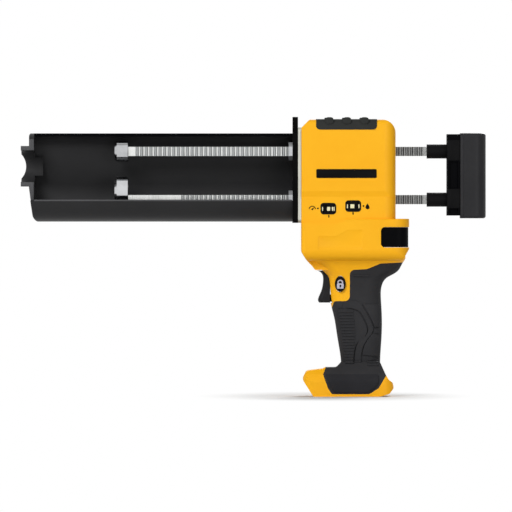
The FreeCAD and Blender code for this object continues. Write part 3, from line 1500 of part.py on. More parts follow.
NODES = [
    "left_housing",
    "right_housing",
    "left_grip",
    "right_grip",
    "top_bumper",
    "front_plate",
    "carriage_plate",
    "cartridge_tray",
    "front_rack_bushes",
    "rear_rack_bushes",
    "gear_plate",
    "top_bearing_plate",
    "rear_plate",
    "rack_guide",
    "shaft_bearings",
    "idler_pin",
    "motor_can",
    "switch_bezels",
    "switch_module",
    "control_board",
    "terminal_block",
    "terminal_blades",
    "housing_screws",
    "carriage_screws",
    "upper_rack",
    "lower_rack",
    "upper_piston",
    "lower_piston",
    "piston_screws",
    "rack_sleeves",
    "pull_handle_frame",
    "pull_handle_cover",
    "pull_handle_screws",
    "drive_shaft",
    "upper_pinion",
    "lower_pinion",
    "drive_gear",
    "idler_gear",
    "motor_shaft",
    "motor_pinion",
    "trigger",
    "lock_button",
    "speed_slider",
    "drip_slider",
    "release_button",
]


def check_document():
    """Stop if any object failed or any sub-part has no valid shape."""
    for thing in doc.Objects:
        if "Invalid" in thing.State or "Error" in thing.State:
            raise ValueError("%s is in state %s" % (thing.Name, thing.State))
    for name in NODES:
        shape = doc.getObject(name).Shape
        if shape.isNull() or not shape.isValid() or not shape.Solids:
            raise ValueError("%s has no valid solid" % name)


def write_parts():
    """Write each sub-part under its label."""
    os.makedirs("parts", exist_ok=True)
    for name in NODES:
        thing = doc.getObject(name)
        thing.Label = name
        thing.Shape.exportStep("parts/%s.step" % thing.Label)


def main():
    """Build every sub-part, check the document and write the parts."""
    make_housing()
    make_top_bumper()
    make_front_plates()
    make_cartridge_tray()
    make_rack_bushes()
    make_gear_frame()
    make_drive_shaft()
    make_reduction()
    make_racks()
    make_pistons()
    make_pull_handle()
    make_trigger()
    make_lock_button()
    make_switches()
    make_release_button()
    make_electrics()
    make_screws()
    doc.recompute()
    check_document()
    write_parts()


main()
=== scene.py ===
"""Looks of a two-component dispensing tool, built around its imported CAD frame."""
import logging
import math
from dataclasses import dataclass
from enum import Enum
from typing import Any, Callable, Iterable, Sequence

import bmesh
import bpy
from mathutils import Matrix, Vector


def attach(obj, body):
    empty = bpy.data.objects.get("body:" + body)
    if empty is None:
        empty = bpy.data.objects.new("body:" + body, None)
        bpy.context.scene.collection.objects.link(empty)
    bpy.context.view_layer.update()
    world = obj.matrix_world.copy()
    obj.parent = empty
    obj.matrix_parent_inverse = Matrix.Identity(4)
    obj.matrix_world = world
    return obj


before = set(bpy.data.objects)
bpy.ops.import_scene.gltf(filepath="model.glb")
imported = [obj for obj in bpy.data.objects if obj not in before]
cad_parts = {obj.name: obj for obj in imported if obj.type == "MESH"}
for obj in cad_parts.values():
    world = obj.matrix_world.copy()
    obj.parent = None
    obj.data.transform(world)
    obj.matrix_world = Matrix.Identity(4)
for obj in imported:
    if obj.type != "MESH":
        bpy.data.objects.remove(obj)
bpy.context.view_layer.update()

LOG = logging.getLogger("dispenser")
MM = 0.001
ORIGIN = (0.0, 0.0, 0.0)
FACING = (math.pi / 2, 0.0, 0.0)    # turns what lies flat so that it faces the left side
SINK = 0.1 * MM                     # how far a raised piece is sunk into what carries it
LEVEL = 0.01 * MM                   # corners nearer than this to a depth lie at it
WELD = 0.005 * MM                   # corners nearer than this are one corner
SMOOTH = math.radians(32)           # edges flatter than this are shaded smooth
SCREW_ROOM = 3.6 * MM               # radius that is kept free round a housing screw
DRILL_LONG = 200 * MM

Colour = tuple[float, float, float]
Triple = tuple[float, float, float]
Pair = tuple[float, float]
Test = Callable[[Any], bool]


def srgb(red: int, green: int, blue: int) -> Colour:
    """Return a colour given in screen values as linear light.

    Args:
        red: Red from 0 to 255.
        green: Green from 0 to 255.
        blue: Blue from 0 to 255.

    Returns:
        The linear colour.
    """
    def linear(value: float) -> float:
        """Return one screen channel as linear light."""
        return value / 12.92 if value <= 0.04045 else ((value + 0.055) / 1.055) ** 2.4

    return linear(red / 255), linear(green / 255), linear(blue / 255)


class Along(Enum):
    """The direction that brush or milling marks run in, as stretches of X, Y and Z."""

    LENGTH = (0.03, 1.0, 1.0)
    WIDTH = (1.0, 0.03, 1.0)
    HEIGHT = (1.0, 1.0, 0.03)


class Signal:
    """A number that varies over a surface: a socket that takes part in arithmetic."""

    def __init__(self, paint: "Paint", socket: bpy.types.NodeSocket) -> None:
        """Keep the paint that the socket belongs to."""
        self.paint = paint
        self.socket = socket

    def math(self, operation: str, first: Any, second: Any = None) -> "Signal":
        """Add one Math node.

        Args:
            operation: The node's operation.
            first: The first value or signal.
            second: The second value or signal, if the operation has one.

        Returns:
            The node's result.
        """
        values = {0: first} if second is None else {0: first, 1: second}
        node = self.paint.node("ShaderNodeMath", {"operation": operation}, values)
        return Signal(self.paint, node.outputs[0])

    def __add__(self, other: Any) -> "Signal":
        """Add a value."""
        return self.math("ADD", self, other)

    def __radd__(self, other: Any) -> "Signal":
        """Add this signal to a value."""
        return self.math("ADD", other, self)

    def __sub__(self, other: Any) -> "Signal":
        """Subtract a value."""
        return self.math("SUBTRACT", self, other)

    def __rsub__(self, other: Any) -> "Signal":
        """Subtract this signal from a value."""
        return self.math("SUBTRACT", other, self)

    def __mul__(self, other: Any) -> "Signal":
        """Multiply by a value."""
        return self.math("MULTIPLY", self, other)

    def __abs__(self) -> "Signal":
        """Return the size of the signal without its sign."""
        return self.math("ABSOLUTE", self)

    def __pow__(self, other: float) -> "Signal":
        """Raise to a power."""
        return self.math("POWER", self, other)

    def fade(self, start: float, end: float) -> "Signal":
        """Return a smooth step of this signal.

        Args:
            start: Where the step is 0.
            end: Where the step is 1.

        Returns:
            A signal from 0 to 1.
        """
        settings = {"interpolation_type": "SMOOTHSTEP"}
        values = {"Value": self, "From Min": start, "From Max": end}
        node = self.paint.node("ShaderNodeMapRange", settings, values)
        return Signal(self.paint, node.outputs[0])

    def between(self, start: float, full: float, thinning: float, end: float) -> "Signal":
        """Return a signal that is 1 from full to thinning and fades to 0 at start and at end."""
        return self.fade(start, full) * self.fade(end, thinning)

    def reach(self, other: "Signal") -> "Signal":
        """Return the distance from the origin of a point with this and another coordinate."""
        return (self * self + other * other) ** 0.5


class Paint:
    """One material under construction, with its shader."""

    def __init__(self, name: str) -> None:
        """Start a node tree that ends in a Principled shader.

        Args:
            name: The material's name.
        """
        self.material = bpy.data.materials.new(name)
        self.material.use_nodes = True
        self.tree = self.material.node_tree
        self.tree.nodes.clear()
        self.output = self.node("ShaderNodeOutputMaterial")
        self.shader = self.node("ShaderNodeBsdfPrincipled")
        self.link(self.shader.outputs[0], self.output.inputs["Surface"])
        self.place = self.node("ShaderNodeTexCoord").outputs["Object"]

    def link(self, start: bpy.types.NodeSocket, end: bpy.types.NodeSocket) -> None:
        """Link two sockets."""
        self.tree.links.new(start, end)

    def feed(self, socket: bpy.types.NodeSocket, value: Any) -> None:
        """Set a socket to a value, or link a signal or another socket to it.

        Args:
            socket: The socket that is fed.
            value: The value, signal or socket that feeds it.
        """
        if isinstance(value, Signal):
            value = value.socket
        if isinstance(value, bpy.types.NodeSocket):
            self.link(value, socket)
        elif isinstance(value, tuple) and socket.type == "RGBA":
            socket.default_value = (*value, 1.0)
        else:
            socket.default_value = value

    def node(self, kind: str, settings: dict[str, Any] | None = None,
             values: dict[int | str, Any] | None = None) -> bpy.types.Node:
        """Add a node.

        Args:
            kind: The node's type.
            settings: Its settings, set first.
            values: The values or links of its sockets, by name or number.

        Returns:
            The new node.
        """
        node = self.tree.nodes.new(kind)
        for name, value in (settings or {}).items():
            setattr(node, name, value)
        for key, value in (values or {}).items():
            self.feed(node.inputs[key], value)
        return node

    def axis(self, name: str) -> Signal:
        """Return one coordinate of the surface in metres."""
        parts = self.node("ShaderNodeSeparateXYZ", None, {0: self.place})
        return Signal(self, parts.outputs[name])

    def noise(self, size: float, detail: float = 2.0, stretch: Triple = (1.0, 1.0, 1.0)) -> Signal:
        """Return noise from 0 to 1.

        Args:
            size: The size of its grains in metres.
            detail: The number of finer layers.
            stretch: How much finer or coarser it is along each axis.

        Returns:
            The noise.
        """
        spot = self.node("ShaderNodeMapping", None, {"Vector": self.place, "Scale": stretch})
        values = {"Vector": spot.outputs[0], "Scale": 1 / size, "Detail": detail}
        return Signal(self, self.node("ShaderNodeTexNoise", None, values).outputs[0])

    def cells(self, size: float) -> Signal:
        """Return the distance to the nearest of many scattered points, as in a pebbled grain."""
        node = self.node("ShaderNodeTexVoronoi", None, {"Vector": self.place, "Scale": 1 / size})
        return Signal(self, node.outputs["Distance"])

    def blend(self, share: Any, first: Any, second: Any) -> bpy.types.NodeSocket:
        """Mix two colours, with a given share of the second."""
        node = self.node("ShaderNodeMix", {"data_type": "RGBA"}, {0: share, 6: first, 7: second})
        return node.outputs[2]

    def relief(self, height: Signal, depth: float, strength: float = 1.0) -> None:
        """Raise the surface by a height map, where 1 is as high as the depth in metres."""
        values = {"Height": height, "Distance": depth, "Strength": strength}
        self.set(Normal=self.node("ShaderNodeBump", None, values).outputs[0])

    def set(self, **values: Any) -> None:
        """Set the shader's sockets by their names, with spaces written as underscores."""
        for name, value in values.items():
            self.feed(self.shader.inputs[name.replace("_", " ")], value)


@dataclass(frozen=True)
class MouldedPlastic:
    """Hard moulded plastic: a fine grain, a drift of colour, and a line where halves meet."""

    name: str
    colour: Colour
    deep: Colour
    roughness: float = 0.42
    grain: float = 0.55 * MM
    grain_depth: float = 0.02 * MM
    shine: float = 0.35
    seam: float = 0.0
    drift_size: float = 70 * MM
    mottle_size: float = 4 * MM

    def material(self) -> bpy.types.Material:
        """Make the finish.

        Returns:
            Its material.
        """
        paint = Paint(self.name)
        drift = paint.noise(self.drift_size, 3.0)
        mottle = paint.noise(self.mottle_size, 2.0)
        grain = paint.noise(self.grain, 2.0)
        share = drift.fade(0.3, 0.75) * 0.7 + mottle * 0.3
        colour = paint.blend(share, self.colour, self.deep)
        height, depth = grain, self.grain_depth
        if self.seam:
            line = abs(paint.axis("Y")).fade(self.seam, 0.4 * self.seam)
            dark = tuple(0.35 * channel for channel in self.deep)
            colour = paint.blend(line * 0.8, colour, dark)
            height, depth = grain * 0.2 + (1 - line) * 0.8, 5 * self.grain_depth
        paint.set(Base_Color=colour, Specular_IOR_Level=self.shine,
                  Roughness=self.roughness + (grain - 0.5) * 0.12 + (drift - 0.5) * 0.1)
        paint.relief(height, depth)
        return paint.material


@dataclass(frozen=True)
class SoftRubber:
    """Soft overmoulded rubber: a pebbled matt skin with a dusty drift of tone."""

    name: str
    colour: Colour
    worn: Colour
    pebble: float = 0.8 * MM
    pebble_depth: float = 0.05 * MM
    roughness: float = 0.72
    shine: float = 0.1
    drift_size: float = 30 * MM
    dust_size: float = 2.5 * MM

    def material(self) -> bpy.types.Material:
        """Make the finish.

        Returns:
            Its material.
        """
        paint = Paint(self.name)
        pebbles = paint.cells(self.pebble)
        drift = paint.noise(self.drift_size, 3.0)
        dust = paint.noise(self.dust_size, 3.0)
        share = drift.fade(0.35, 0.8) * 0.6 + dust.fade(0.5, 0.9) * 0.3
        paint.set(Base_Color=paint.blend(share, self.colour, self.worn),
                  Specular_IOR_Level=self.shine, Roughness=self.roughness + (dust - 0.5) * 0.15)
        paint.relief(pebbles, self.pebble_depth, 0.6)
        return paint.material


@dataclass(frozen=True)
class CoatedSheet:
    """Powder-coated sheet: a satin coat with an orange-peel skin."""

    name: str
    colour: Colour
    lit: Colour
    roughness: float = 0.4
    peel: float = 1.6 * MM
    shine: float = 0.1
    peel_depth: float = 0.03 * MM
    drift_size: float = 90 * MM
    scuff_size: float = 1.2 * MM

    def material(self) -> bpy.types.Material:
        """Make the finish.

        Returns:
            Its material.
        """
        paint = Paint(self.name)
        peel = paint.noise(self.peel, 2.0)
        drift = paint.noise(self.drift_size, 3.0)
        scuff = paint.noise(self.scuff_size, 3.0, Along.LENGTH.value)
        share = drift.fade(0.3, 0.8) * 0.6 + scuff.fade(0.62, 0.8) * 0.2
        paint.set(Base_Color=paint.blend(share, self.colour, self.lit),
                  Specular_IOR_Level=self.shine,
                  Roughness=self.roughness + (peel - 0.5) * 0.15 + (drift - 0.5) * 0.12)
        paint.relief(peel, self.peel_depth)
        return paint.material


STRETCH_TONE = srgb(96, 96, 95)
DARKER_STRETCH = (-66 * MM, 52 * MM, 74 * MM, 140 * MM)          # X, full between the inner two
GAP_TONE = srgb(164, 166, 166)
GAP_DEPTH = (-4.7 * MM, -3.4 * MM, -2.0 * MM, -1.4 * MM)  # Y from below the tooth tips to the roots
GAP_HALF = (5.0 * MM, 4.8 * MM)                           # off the axis: no darkening, full darkening
UPPER_RACK = 269.2 * MM                                   # Z of the racks' axes
LOWER_RACK = 216.2 * MM
LOWER_PISTON = 223.8 * MM                                 # Z of the large piston's axis


@dataclass(frozen=True)
class WorkedMetal:
    """Bare metal with brush or milling marks; a rack is also darker over a stretch of its length and
    in its tooth gaps.
    """

    name: str
    colour: Colour
    dark_tone: Colour
    roughness: float = 0.3
    along: Along = Along.HEIGHT
    mark: float = 0.7 * MM
    mark_depth: float = 0.01 * MM
    rack: float = 0.0
    drift_size: float = 25 * MM

    def material(self) -> bpy.types.Material:
        """Make the finish.

        Returns:
            Its material.
        """
        paint = Paint(self.name)
        marks = paint.noise(self.mark, 3.0, self.along.value)
        drift = paint.noise(self.drift_size, 3.0)
        share = marks.fade(0.35, 0.75) * 0.5 + drift.fade(0.45, 0.8) * 0.4
        colour = paint.blend(share, self.colour, self.dark_tone)
        # A rack darkens towards a grey in its tooth gaps, and towards a darker grey over a stretch
        # of its length.
        if self.rack:
            inside = abs(paint.axis("Z") - self.rack).fade(*GAP_HALF)
            colour = paint.blend(paint.axis("Y").between(*GAP_DEPTH) * inside, colour, GAP_TONE)
            stretch_share = paint.axis("X").between(*DARKER_STRETCH)
            colour = paint.blend(stretch_share * (0.75 + marks * 0.25), colour, STRETCH_TONE)
        paint.set(Base_Color=colour, Metallic=1.0,
                  Roughness=self.roughness + (marks - 0.5) * 0.22 + (drift - 0.5) * 0.1)
        paint.relief(marks, self.mark_depth)
        return paint.material


@dataclass(frozen=True)
class TurnedMetal:
    """Bright metal turned on a lathe about an axis along the tool, with fine rings on its face and
    dark reflection bands painted round it.
    """

    name: str
    colour: Colour
    height: float
    ring: float = 0.5 * MM
    ring_depth: float = 0.006 * MM
    drift_size: float = 8 * MM
    reflection_band_size: float = 5 * MM

    def material(self) -> bpy.types.Material:
        """Make the finish.

        Returns:
            Its material.
        """
        paint = Paint(self.name)
        radius = (paint.axis("Z") - self.height).reach(paint.axis("Y"))
        rings = radius.math("SINE", radius * (2 * math.pi / self.ring)) * 0.5 + 0.5
        drift = paint.noise(self.drift_size, 3.0)
        painted_reflection_bands = paint.noise(self.reflection_band_size, 2.0, Along.LENGTH.value)
        # Dark bands round the axis are painted reflections: along them the chrome darkens to about
        # an eighth of its colour; the drift adds a little random tone.
        dark_tone = tuple(0.12 * channel for channel in self.colour)
        share = drift.fade(0.4, 0.8) * 0.1 + painted_reflection_bands.fade(0.53, 0.58) * 0.8
        paint.set(Base_Color=paint.blend(share, self.colour, dark_tone), Metallic=1.0,
                  Roughness=0.12 + rings * 0.06 + (drift - 0.5) * 0.06)
        paint.relief(rings, self.ring_depth)
        return paint.material


@dataclass(frozen=True)
class Ink:
    """Printed ink: flat colour with the slight unevenness of a pad print."""

    name: str
    colour: Colour
    thin: Colour
    spread_size: float = 0.9 * MM
    spread_depth: float = 0.01 * MM

    def material(self) -> bpy.types.Material:
        """Make the finish.

        Returns:
            Its material.
        """
        paint = Paint(self.name)
        spread = paint.noise(self.spread_size, 3.0)
        paint.set(Base_Color=paint.blend(spread.fade(0.55, 0.85) * 0.5, self.colour, self.thin),
                  Roughness=0.45 + (spread - 0.5) * 0.2, Specular_IOR_Level=0.05)
        paint.relief(spread, self.spread_depth)
        return paint.material


YELLOW = srgb(251, 184, 26)
AMBER = srgb(247, 174, 18)
RACK_TONES = (srgb(226, 227, 225), srgb(178, 179, 176))
FINISHES: dict[str, Any] = {
    "yellow": MouldedPlastic("yellow_moulding", YELLOW, AMBER, 0.46, shine=0.16, seam=0.35 * MM),
    "black": MouldedPlastic("black_moulding", srgb(22, 22, 24), srgb(30, 30, 32), 0.45, shine=0.12),
    "cover": MouldedPlastic("cover_moulding", srgb(32, 32, 34), srgb(42, 42, 44), 0.45, shine=0.12),
    "sleeve": MouldedPlastic("sleeve_moulding", srgb(10, 10, 11), srgb(16, 16, 17), 0.5,
                             shine=0.05),
    "jet": MouldedPlastic("jet_moulding", srgb(4, 4, 6), srgb(8, 8, 10), 0.4, shine=0.02),
    "dark": MouldedPlastic("dark_moulding", srgb(12, 12, 13), srgb(17, 17, 18), 0.5, shine=0.06),
    "rubber": SoftRubber("grip_rubber", srgb(46, 46, 48), srgb(56, 56, 58)),
    # A darker copy of the grip rubber: painted shade on the foot skirt's upright face.
    "skirt": SoftRubber("skirt_rubber", srgb(36, 36, 39), srgb(44, 44, 47)),
    "bumper": SoftRubber("bumper_rubber", srgb(44, 45, 44), srgb(52, 53, 51)),
    "tray": CoatedSheet("tray_coat", srgb(40, 40, 41), srgb(48, 48, 49)),
    "carrier": CoatedSheet("carrier_coat", srgb(8, 8, 8), srgb(13, 13, 13), shine=0.02),
    # A paler grey coat for the tray's lip bead and front edges: a painted highlight on those edges.
    "hem": CoatedSheet("hem_coat", srgb(74, 74, 76), srgb(88, 88, 90)),
    "plate": WorkedMetal("zinc_plate", srgb(186, 186, 176), srgb(150, 150, 142), 0.42),
    "bush": WorkedMetal("bush_steel", srgb(226, 228, 230), srgb(192, 194, 196), 0.58),
    "upper_rack": WorkedMetal("upper_rack_steel", *RACK_TONES, rack=UPPER_RACK),
    "lower_rack": WorkedMetal("lower_rack_steel", *RACK_TONES, rack=LOWER_RACK),
    "gear": WorkedMetal("gear_steel", srgb(170, 170, 170), srgb(128, 128, 126), 0.35),
    "motor": WorkedMetal("motor_steel", srgb(150, 152, 154), srgb(120, 122, 124), 0.4),
    "bronze": WorkedMetal("bearing_bronze", srgb(196, 150, 92), srgb(160, 118, 70), 0.35),
    "brass": WorkedMetal("contact_brass", srgb(214, 178, 96), srgb(180, 146, 76),
                         along=Along.LENGTH),
    "screw": WorkedMetal("screw_steel", srgb(92, 93, 96), srgb(64, 65, 68), 0.4, Along.WIDTH),
    "board": MouldedPlastic("board_lacquer", srgb(24, 92, 50), srgb(18, 74, 40), 0.35),
    "cream": MouldedPlastic("slider_cream", srgb(236, 230, 190), srgb(222, 214, 168), 0.4),
    "upper_chrome": TurnedMetal("upper_piston_chrome", srgb(190, 191, 193), UPPER_RACK),
    "lower_chrome": TurnedMetal("lower_piston_chrome", srgb(206, 207, 209), LOWER_PISTON),
    "black_ink": Ink("black_ink", srgb(5, 5, 6), srgb(12, 11, 10)),
    "grey_ink": Ink("grey_ink", srgb(186, 184, 200), srgb(150, 148, 168)),
}

NODE_FINISHES: dict[str, tuple[str, ...]] = {
    "yellow": ("left_housing", "right_housing"),
    "rubber": ("left_grip", "right_grip"),
    "bumper": ("top_bumper",),
    "plate": ("front_plate",),
    "carrier": ("carriage_plate",),
    "tray": ("cartridge_tray",),
    "bush": ("front_rack_bushes",),
    "upper_rack": ("upper_rack",),
    "lower_rack": ("lower_rack",),
    "upper_chrome": ("upper_piston",),
    "lower_chrome": ("lower_piston",),
    "cover": ("pull_handle_cover",),
    "black": ("trigger", "switch_module", "terminal_block"),
    "sleeve": ("rack_sleeves",),
    "dark": ("switch_bezels", "lock_button", "speed_slider", "drip_slider"),
    "jet": ("release_button", "pull_handle_frame"),
    "gear": ("drive_shaft", "upper_pinion", "lower_pinion", "drive_gear", "idler_gear", "idler_pin",
             "motor_shaft", "motor_pinion", "gear_plate", "top_bearing_plate", "rear_plate",
             "rack_guide"),
    "motor": ("motor_can",),
    "bronze": ("shaft_bearings", "rear_rack_bushes"),
    "board": ("control_board",),
    "brass": ("terminal_blades",),
    "screw": ("housing_screws", "carriage_screws", "piston_screws", "pull_handle_screws"),
}


class Palette:
    """The finishes as materials, each made once."""

    def __init__(self) -> None:
        """Make every finish."""
        self.materials = {name: finish.material() for name, finish in FINISHES.items()}

    def dress(self, piece: bpy.types.Object, finish: str) -> None:
        """Give a piece one finish all over."""
        piece.data.materials.clear()
        piece.data.materials.append(self.materials[finish])

    def dress_frame(self) -> None:
        """Give every CAD node its finish."""
        for finish, nodes in NODE_FINISHES.items():
            for node in nodes:
                self.dress(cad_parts[node], finish)
                LOG.info("node %s: %s", node, finish)


def deselect() -> None:
    """Leave edit mode and deselect everything."""
    if bpy.context.object is not None and bpy.context.object.mode != "OBJECT":
        bpy.ops.object.mode_set(mode="OBJECT")
    bpy.ops.object.select_all(action="DESELECT")


class Part(Enum):
    """What is selected in edit mode."""

    FACES = "FACE"
    EDGES = "EDGE"
    CORNERS = "VERT"


class Bench:
    """One piece in hand, shaped with Blender's operators."""

    def __init__(self, name: str) -> None:
        """Take up the object that an operator has just added.

        Args:
            name: The piece's name.
        """
        self.piece = bpy.context.object
        self.piece.name = name
        self.piece.data.name = name
        bpy.ops.object.transform_apply(location=True, rotation=True, scale=True)

    @classmethod
    def block(cls, name: str, low: Triple, high: Triple) -> "Bench":
        """Start from a block between two corners.

        Args:
            name: The piece's name.
            low: The corner with the smaller values, in metres.
            high: The other corner.

        Returns:
            The bench with the block.
        """
        deselect()
        centre = [(a + b) / 2 for a, b in zip(low, high)]
        sides = [b - a for a, b in zip(low, high)]
        bpy.ops.mesh.primitive_cube_add(size=1.0, location=centre, scale=sides)
        return cls(name)

    @classmethod
    def disc(cls, name: str, centre: Triple, radius: float, sides: int) -> "Bench":
        """Start from a flat disc that faces the left side.

        Args:
            name: The piece's name.
            centre: Its centre in metres.
            radius: Its radius.
            sides: The number of its sides.

        Returns:
            The bench with the disc.
        """
        deselect()
        bpy.ops.mesh.primitive_circle_add(vertices=sides, radius=radius, fill_type="NGON",
                                          location=centre, rotation=FACING)
        return cls(name)

    @classmethod
    def patch(cls, name: str, spot: Callable[[float, float], Triple], across: int,
              along: int) -> "Bench":
        """Start from a grid that is laid out on a surface.

        Args:
            name: The piece's name.
            spot: Gives the place of a grid point from its shares across and along.
            across: The number of cells across.
            along: The number of cells along.

        Returns:
            The bench with the grid.
        """
        deselect()
        bpy.ops.mesh.primitive_grid_add(x_subdivisions=across, y_subdivisions=along, size=1.0,
                                        location=ORIGIN)
        bench = cls(name)
        for vertex in bench.piece.data.vertices:
            vertex.co = spot(vertex.co.x + 0.5, vertex.co.y + 0.5)
        return bench

    @classmethod
    def sheet(cls, name: str, outline: Sequence[Pair], depth: float) -> "Bench":
        """Start from a flat sheet with a given outline, square to Y.

        Args:
            name: The piece's name.
            outline: Its corners as X and Z in millimetres.
            depth: Its Y in metres.

        Returns:
            The bench with the sheet.
        """
        deselect()
        bpy.ops.mesh.primitive_circle_add(vertices=len(outline), radius=1.0, fill_type="NGON",
                                          location=ORIGIN)
        bench = cls(name)
        for vertex, (x, z) in zip(bench.piece.data.vertices, outline):
            vertex.co = (x * MM, depth, z * MM)
        return bench

    def take(self) -> None:
        """Make the piece the active one and the only one that is selected."""
        deselect()
        self.piece.select_set(True)
        bpy.context.view_layer.objects.active = self.piece

    def edit(self, part: Part, test: Test) -> None:
        """Enter edit mode and select what a test picks.

        Args:
            part: Whether faces, edges or corners are picked.
            test: Says whether one of them is picked.
        """
        self.take()
        bpy.ops.object.mode_set(mode="EDIT")
        bpy.ops.mesh.select_mode(type=part.value)
        bpy.ops.mesh.select_all(action="DESELECT")
        mesh = bmesh.from_edit_mesh(self.piece.data)
        mesh.normal_update()
        items = {Part.FACES: mesh.faces, Part.EDGES: mesh.edges, Part.CORNERS: mesh.verts}[part]
        for item in items:
            item.select_set(test(item))
        mesh.select_flush_mode()
        bmesh.update_edit_mesh(self.piece.data)

    def done(self) -> "Bench":
        """Leave edit mode."""
        bpy.ops.object.mode_set(mode="OBJECT")
        return self

    def round(self, test: Test, width: float, steps: int) -> "Bench":
        """Round some edges.

        Args:
            test: Says whether an edge is rounded.
            width: The radius in metres.
            steps: The number of steps of the rounding.

        Returns:
            The bench.
        """
        self.edit(Part.EDGES, test)
        bpy.ops.mesh.bevel(offset=width, segments=steps, profile=0.5, affect="EDGES",
                           clamp_overlap=True)
        return self.done()

    def pull(self, way: float) -> "Bench":
        """Extrude a flat piece along Y.

        Args:
            way: How far it goes, in metres.

        Returns:
            The bench.
        """
        self.edit(Part.FACES, every)
        bpy.ops.mesh.extrude_region_move(TRANSFORM_OT_translate={"value": (0.0, way, 0.0)})
        return self.done()

    def cut_away(self, place: Triple, normal: Triple) -> "Bench":
        """Cut off what lies beyond a plane, and close the cut.

        Args:
            place: A point of the plane.
            normal: The way that is cut off.

        Returns:
            The bench.
        """
        self.edit(Part.FACES, every)
        bpy.ops.mesh.bisect(plane_co=place, plane_no=normal, use_fill=True, clear_outer=True)
        return self.done()

    def modify(self, kind: str, **settings: Any) -> "Bench":
        """Add a modifier and apply it.

        Args:
            kind: The modifier's type.
            settings: Its settings.

        Returns:
            The bench.
        """
        self.take()
        modifier = self.piece.modifiers.new(kind.lower(), kind)
        for name, value in settings.items():
            setattr(modifier, name, value)
        bpy.ops.object.modifier_apply(modifier=modifier.name)
        return self

    def copy(self, name: str, shift: Triple) -> "Bench":
        """Copy the piece, with a mesh of its own.

        Args:
            name: The copy's name.
            shift: How far the copy is moved, in metres.

        Returns:
            A bench with the copy.
        """
        self.take()
        bpy.ops.object.duplicate(linked=False)
        bpy.ops.transform.translate(value=shift)
        return Bench(name)

    def mirrored(self, name: str) -> "Bench":
        """Copy the piece to the other side of the tool.

        Args:
            name: The copy's name.

        Returns:
            A bench with the copy.
        """
        twin = self.copy(name, ORIGIN)
        twin.edit(Part.FACES, every)
        bpy.ops.transform.mirror(constraint_axis=(False, True, False), center_override=ORIGIN)
        return twin.done()

    def drill(self, spot: Pair) -> None:
        """Cut room for a screw through the piece, across the tool, if the piece comes near it.

        Args:
            spot: The X and Z of the screw in metres.
        """
        for axis, value in zip((0, 2), spot):
            values = [vertex.co[axis] for vertex in self.piece.data.vertices]
            if not min(values) - SCREW_ROOM < value < max(values) + SCREW_ROOM:
                return
        deselect()
        bpy.ops.mesh.primitive_cylinder_add(vertices=32, radius=SCREW_ROOM, depth=DRILL_LONG,
                                            location=(spot[0], 0.0, spot[1]), rotation=FACING)
        cutter = Bench("drill")
        self.modify("BOOLEAN", operation="DIFFERENCE", solver="EXACT", object=cutter.piece)
        cutter.take()
        bpy.ops.object.delete()

    def join(self, others: Iterable["Bench"]) -> "Bench":
        """Join other pieces to this one.

        Args:
            others: The benches with those pieces.

        Returns:
            The bench.
        """
        self.take()
        for other in others:
            other.piece.select_set(True)
        bpy.ops.object.join()
        return self

    def finish(self, palette: Palette, finish: str, body: str, slot: str) -> None:
        """Weld the corners, smooth the piece, dress it and let it ride on a body.

        Args:
            palette: The materials.
            finish: The piece's finish.
            body: The CAD body that it moves with.
            slot: Not used.
        """
        self.edit(Part.FACES, every)
        bpy.ops.mesh.remove_doubles(threshold=WELD)
        bpy.ops.mesh.normals_make_consistent(inside=False)
        self.done()
        bpy.ops.object.shade_smooth_by_angle(angle=SMOOTH)
        palette.dress(self.piece, finish)
        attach(self.piece, body)
        faces = len(self.piece.data.polygons)
        LOG.info("piece %s: %d faces, %s, on %s", self.piece.name, faces, finish, body)

    def finish_pair(self, palette: Palette, finish: str, body: str, slot: str,
                    screws: Iterable[Pair] = ()) -> None:
        """Copy a piece of the left side to the right, and finish both.

        Args:
            palette: The materials.
            finish: The finish of both.
            body: The CAD body that they move with.
            slot: Not used; it is only passed on to finish.
            screws: The X and Z of the screws that the right one leaves free.
        """
        right = self.mirrored(self.piece.name.replace("left", "right"))
        for screw in screws:
            right.drill(screw)
        for bench in (self, right):
            bench.finish(palette, finish, body, slot)


def every(item: Any) -> bool:
    """Pick everything."""
    return True


def crosswise(edge: Any) -> bool:
    """Say whether an edge runs across the tool, along Y."""
    way = edge.verts[1].co - edge.verts[0].co
    return abs(way.y) > 0.9 * way.length


def at_depth(depth: float) -> Test:
    """Return a test for edges or faces that lie at one Y, in metres."""
    return lambda item: all(abs(corner.co.y - depth) < LEVEL for corner in item.verts)


def pad(name: str, low: Pair, high: Pair, back: float, face: float, corner: float,
        edge: float) -> Bench:
    """Model a flat pad on the left side, with round corners and a soft face edge.

    Args:
        name: The piece's name.
        low: Its smaller X and Z in metres.
        high: Its greater X and Z.
        back: The Y that it stands on.
        face: The Y of its face, nearer the viewer.
        corner: The radius of its corners.
        edge: The radius of its face's edge.

    Returns:
        The bench with the pad.
    """
    bench = Bench.block(name, (low[0], face, low[1]), (high[0], back, high[1]))
    bench.round(crosswise, corner, 4)
    return bench.round(at_depth(face), edge, 2)


def arch(name: str, centre: Triple, radius: float, thick: float, foot: float) -> Bench:
    """Model the upper part of a ring on the left side, flat where it meets what carries it.

    Args:
        name: The piece's name.
        centre: The ring's centre in metres.
        radius: The radius of its middle line.
        thick: The radius of its section.
        foot: The Z that it is cut off at.

    Returns:
        The bench with the arch.
    """
    deselect()
    bpy.ops.mesh.primitive_torus_add(location=centre, rotation=FACING, major_radius=radius,
                                     minor_radius=thick, major_segments=32, minor_segments=10)
    bench = Bench(name)
    bench.cut_away((0.0, 0.0, foot), (0.0, 0.0, -1.0))
    return bench.cut_away((0.0, centre[1] + SINK, 0.0), (0.0, 1.0, 0.0))


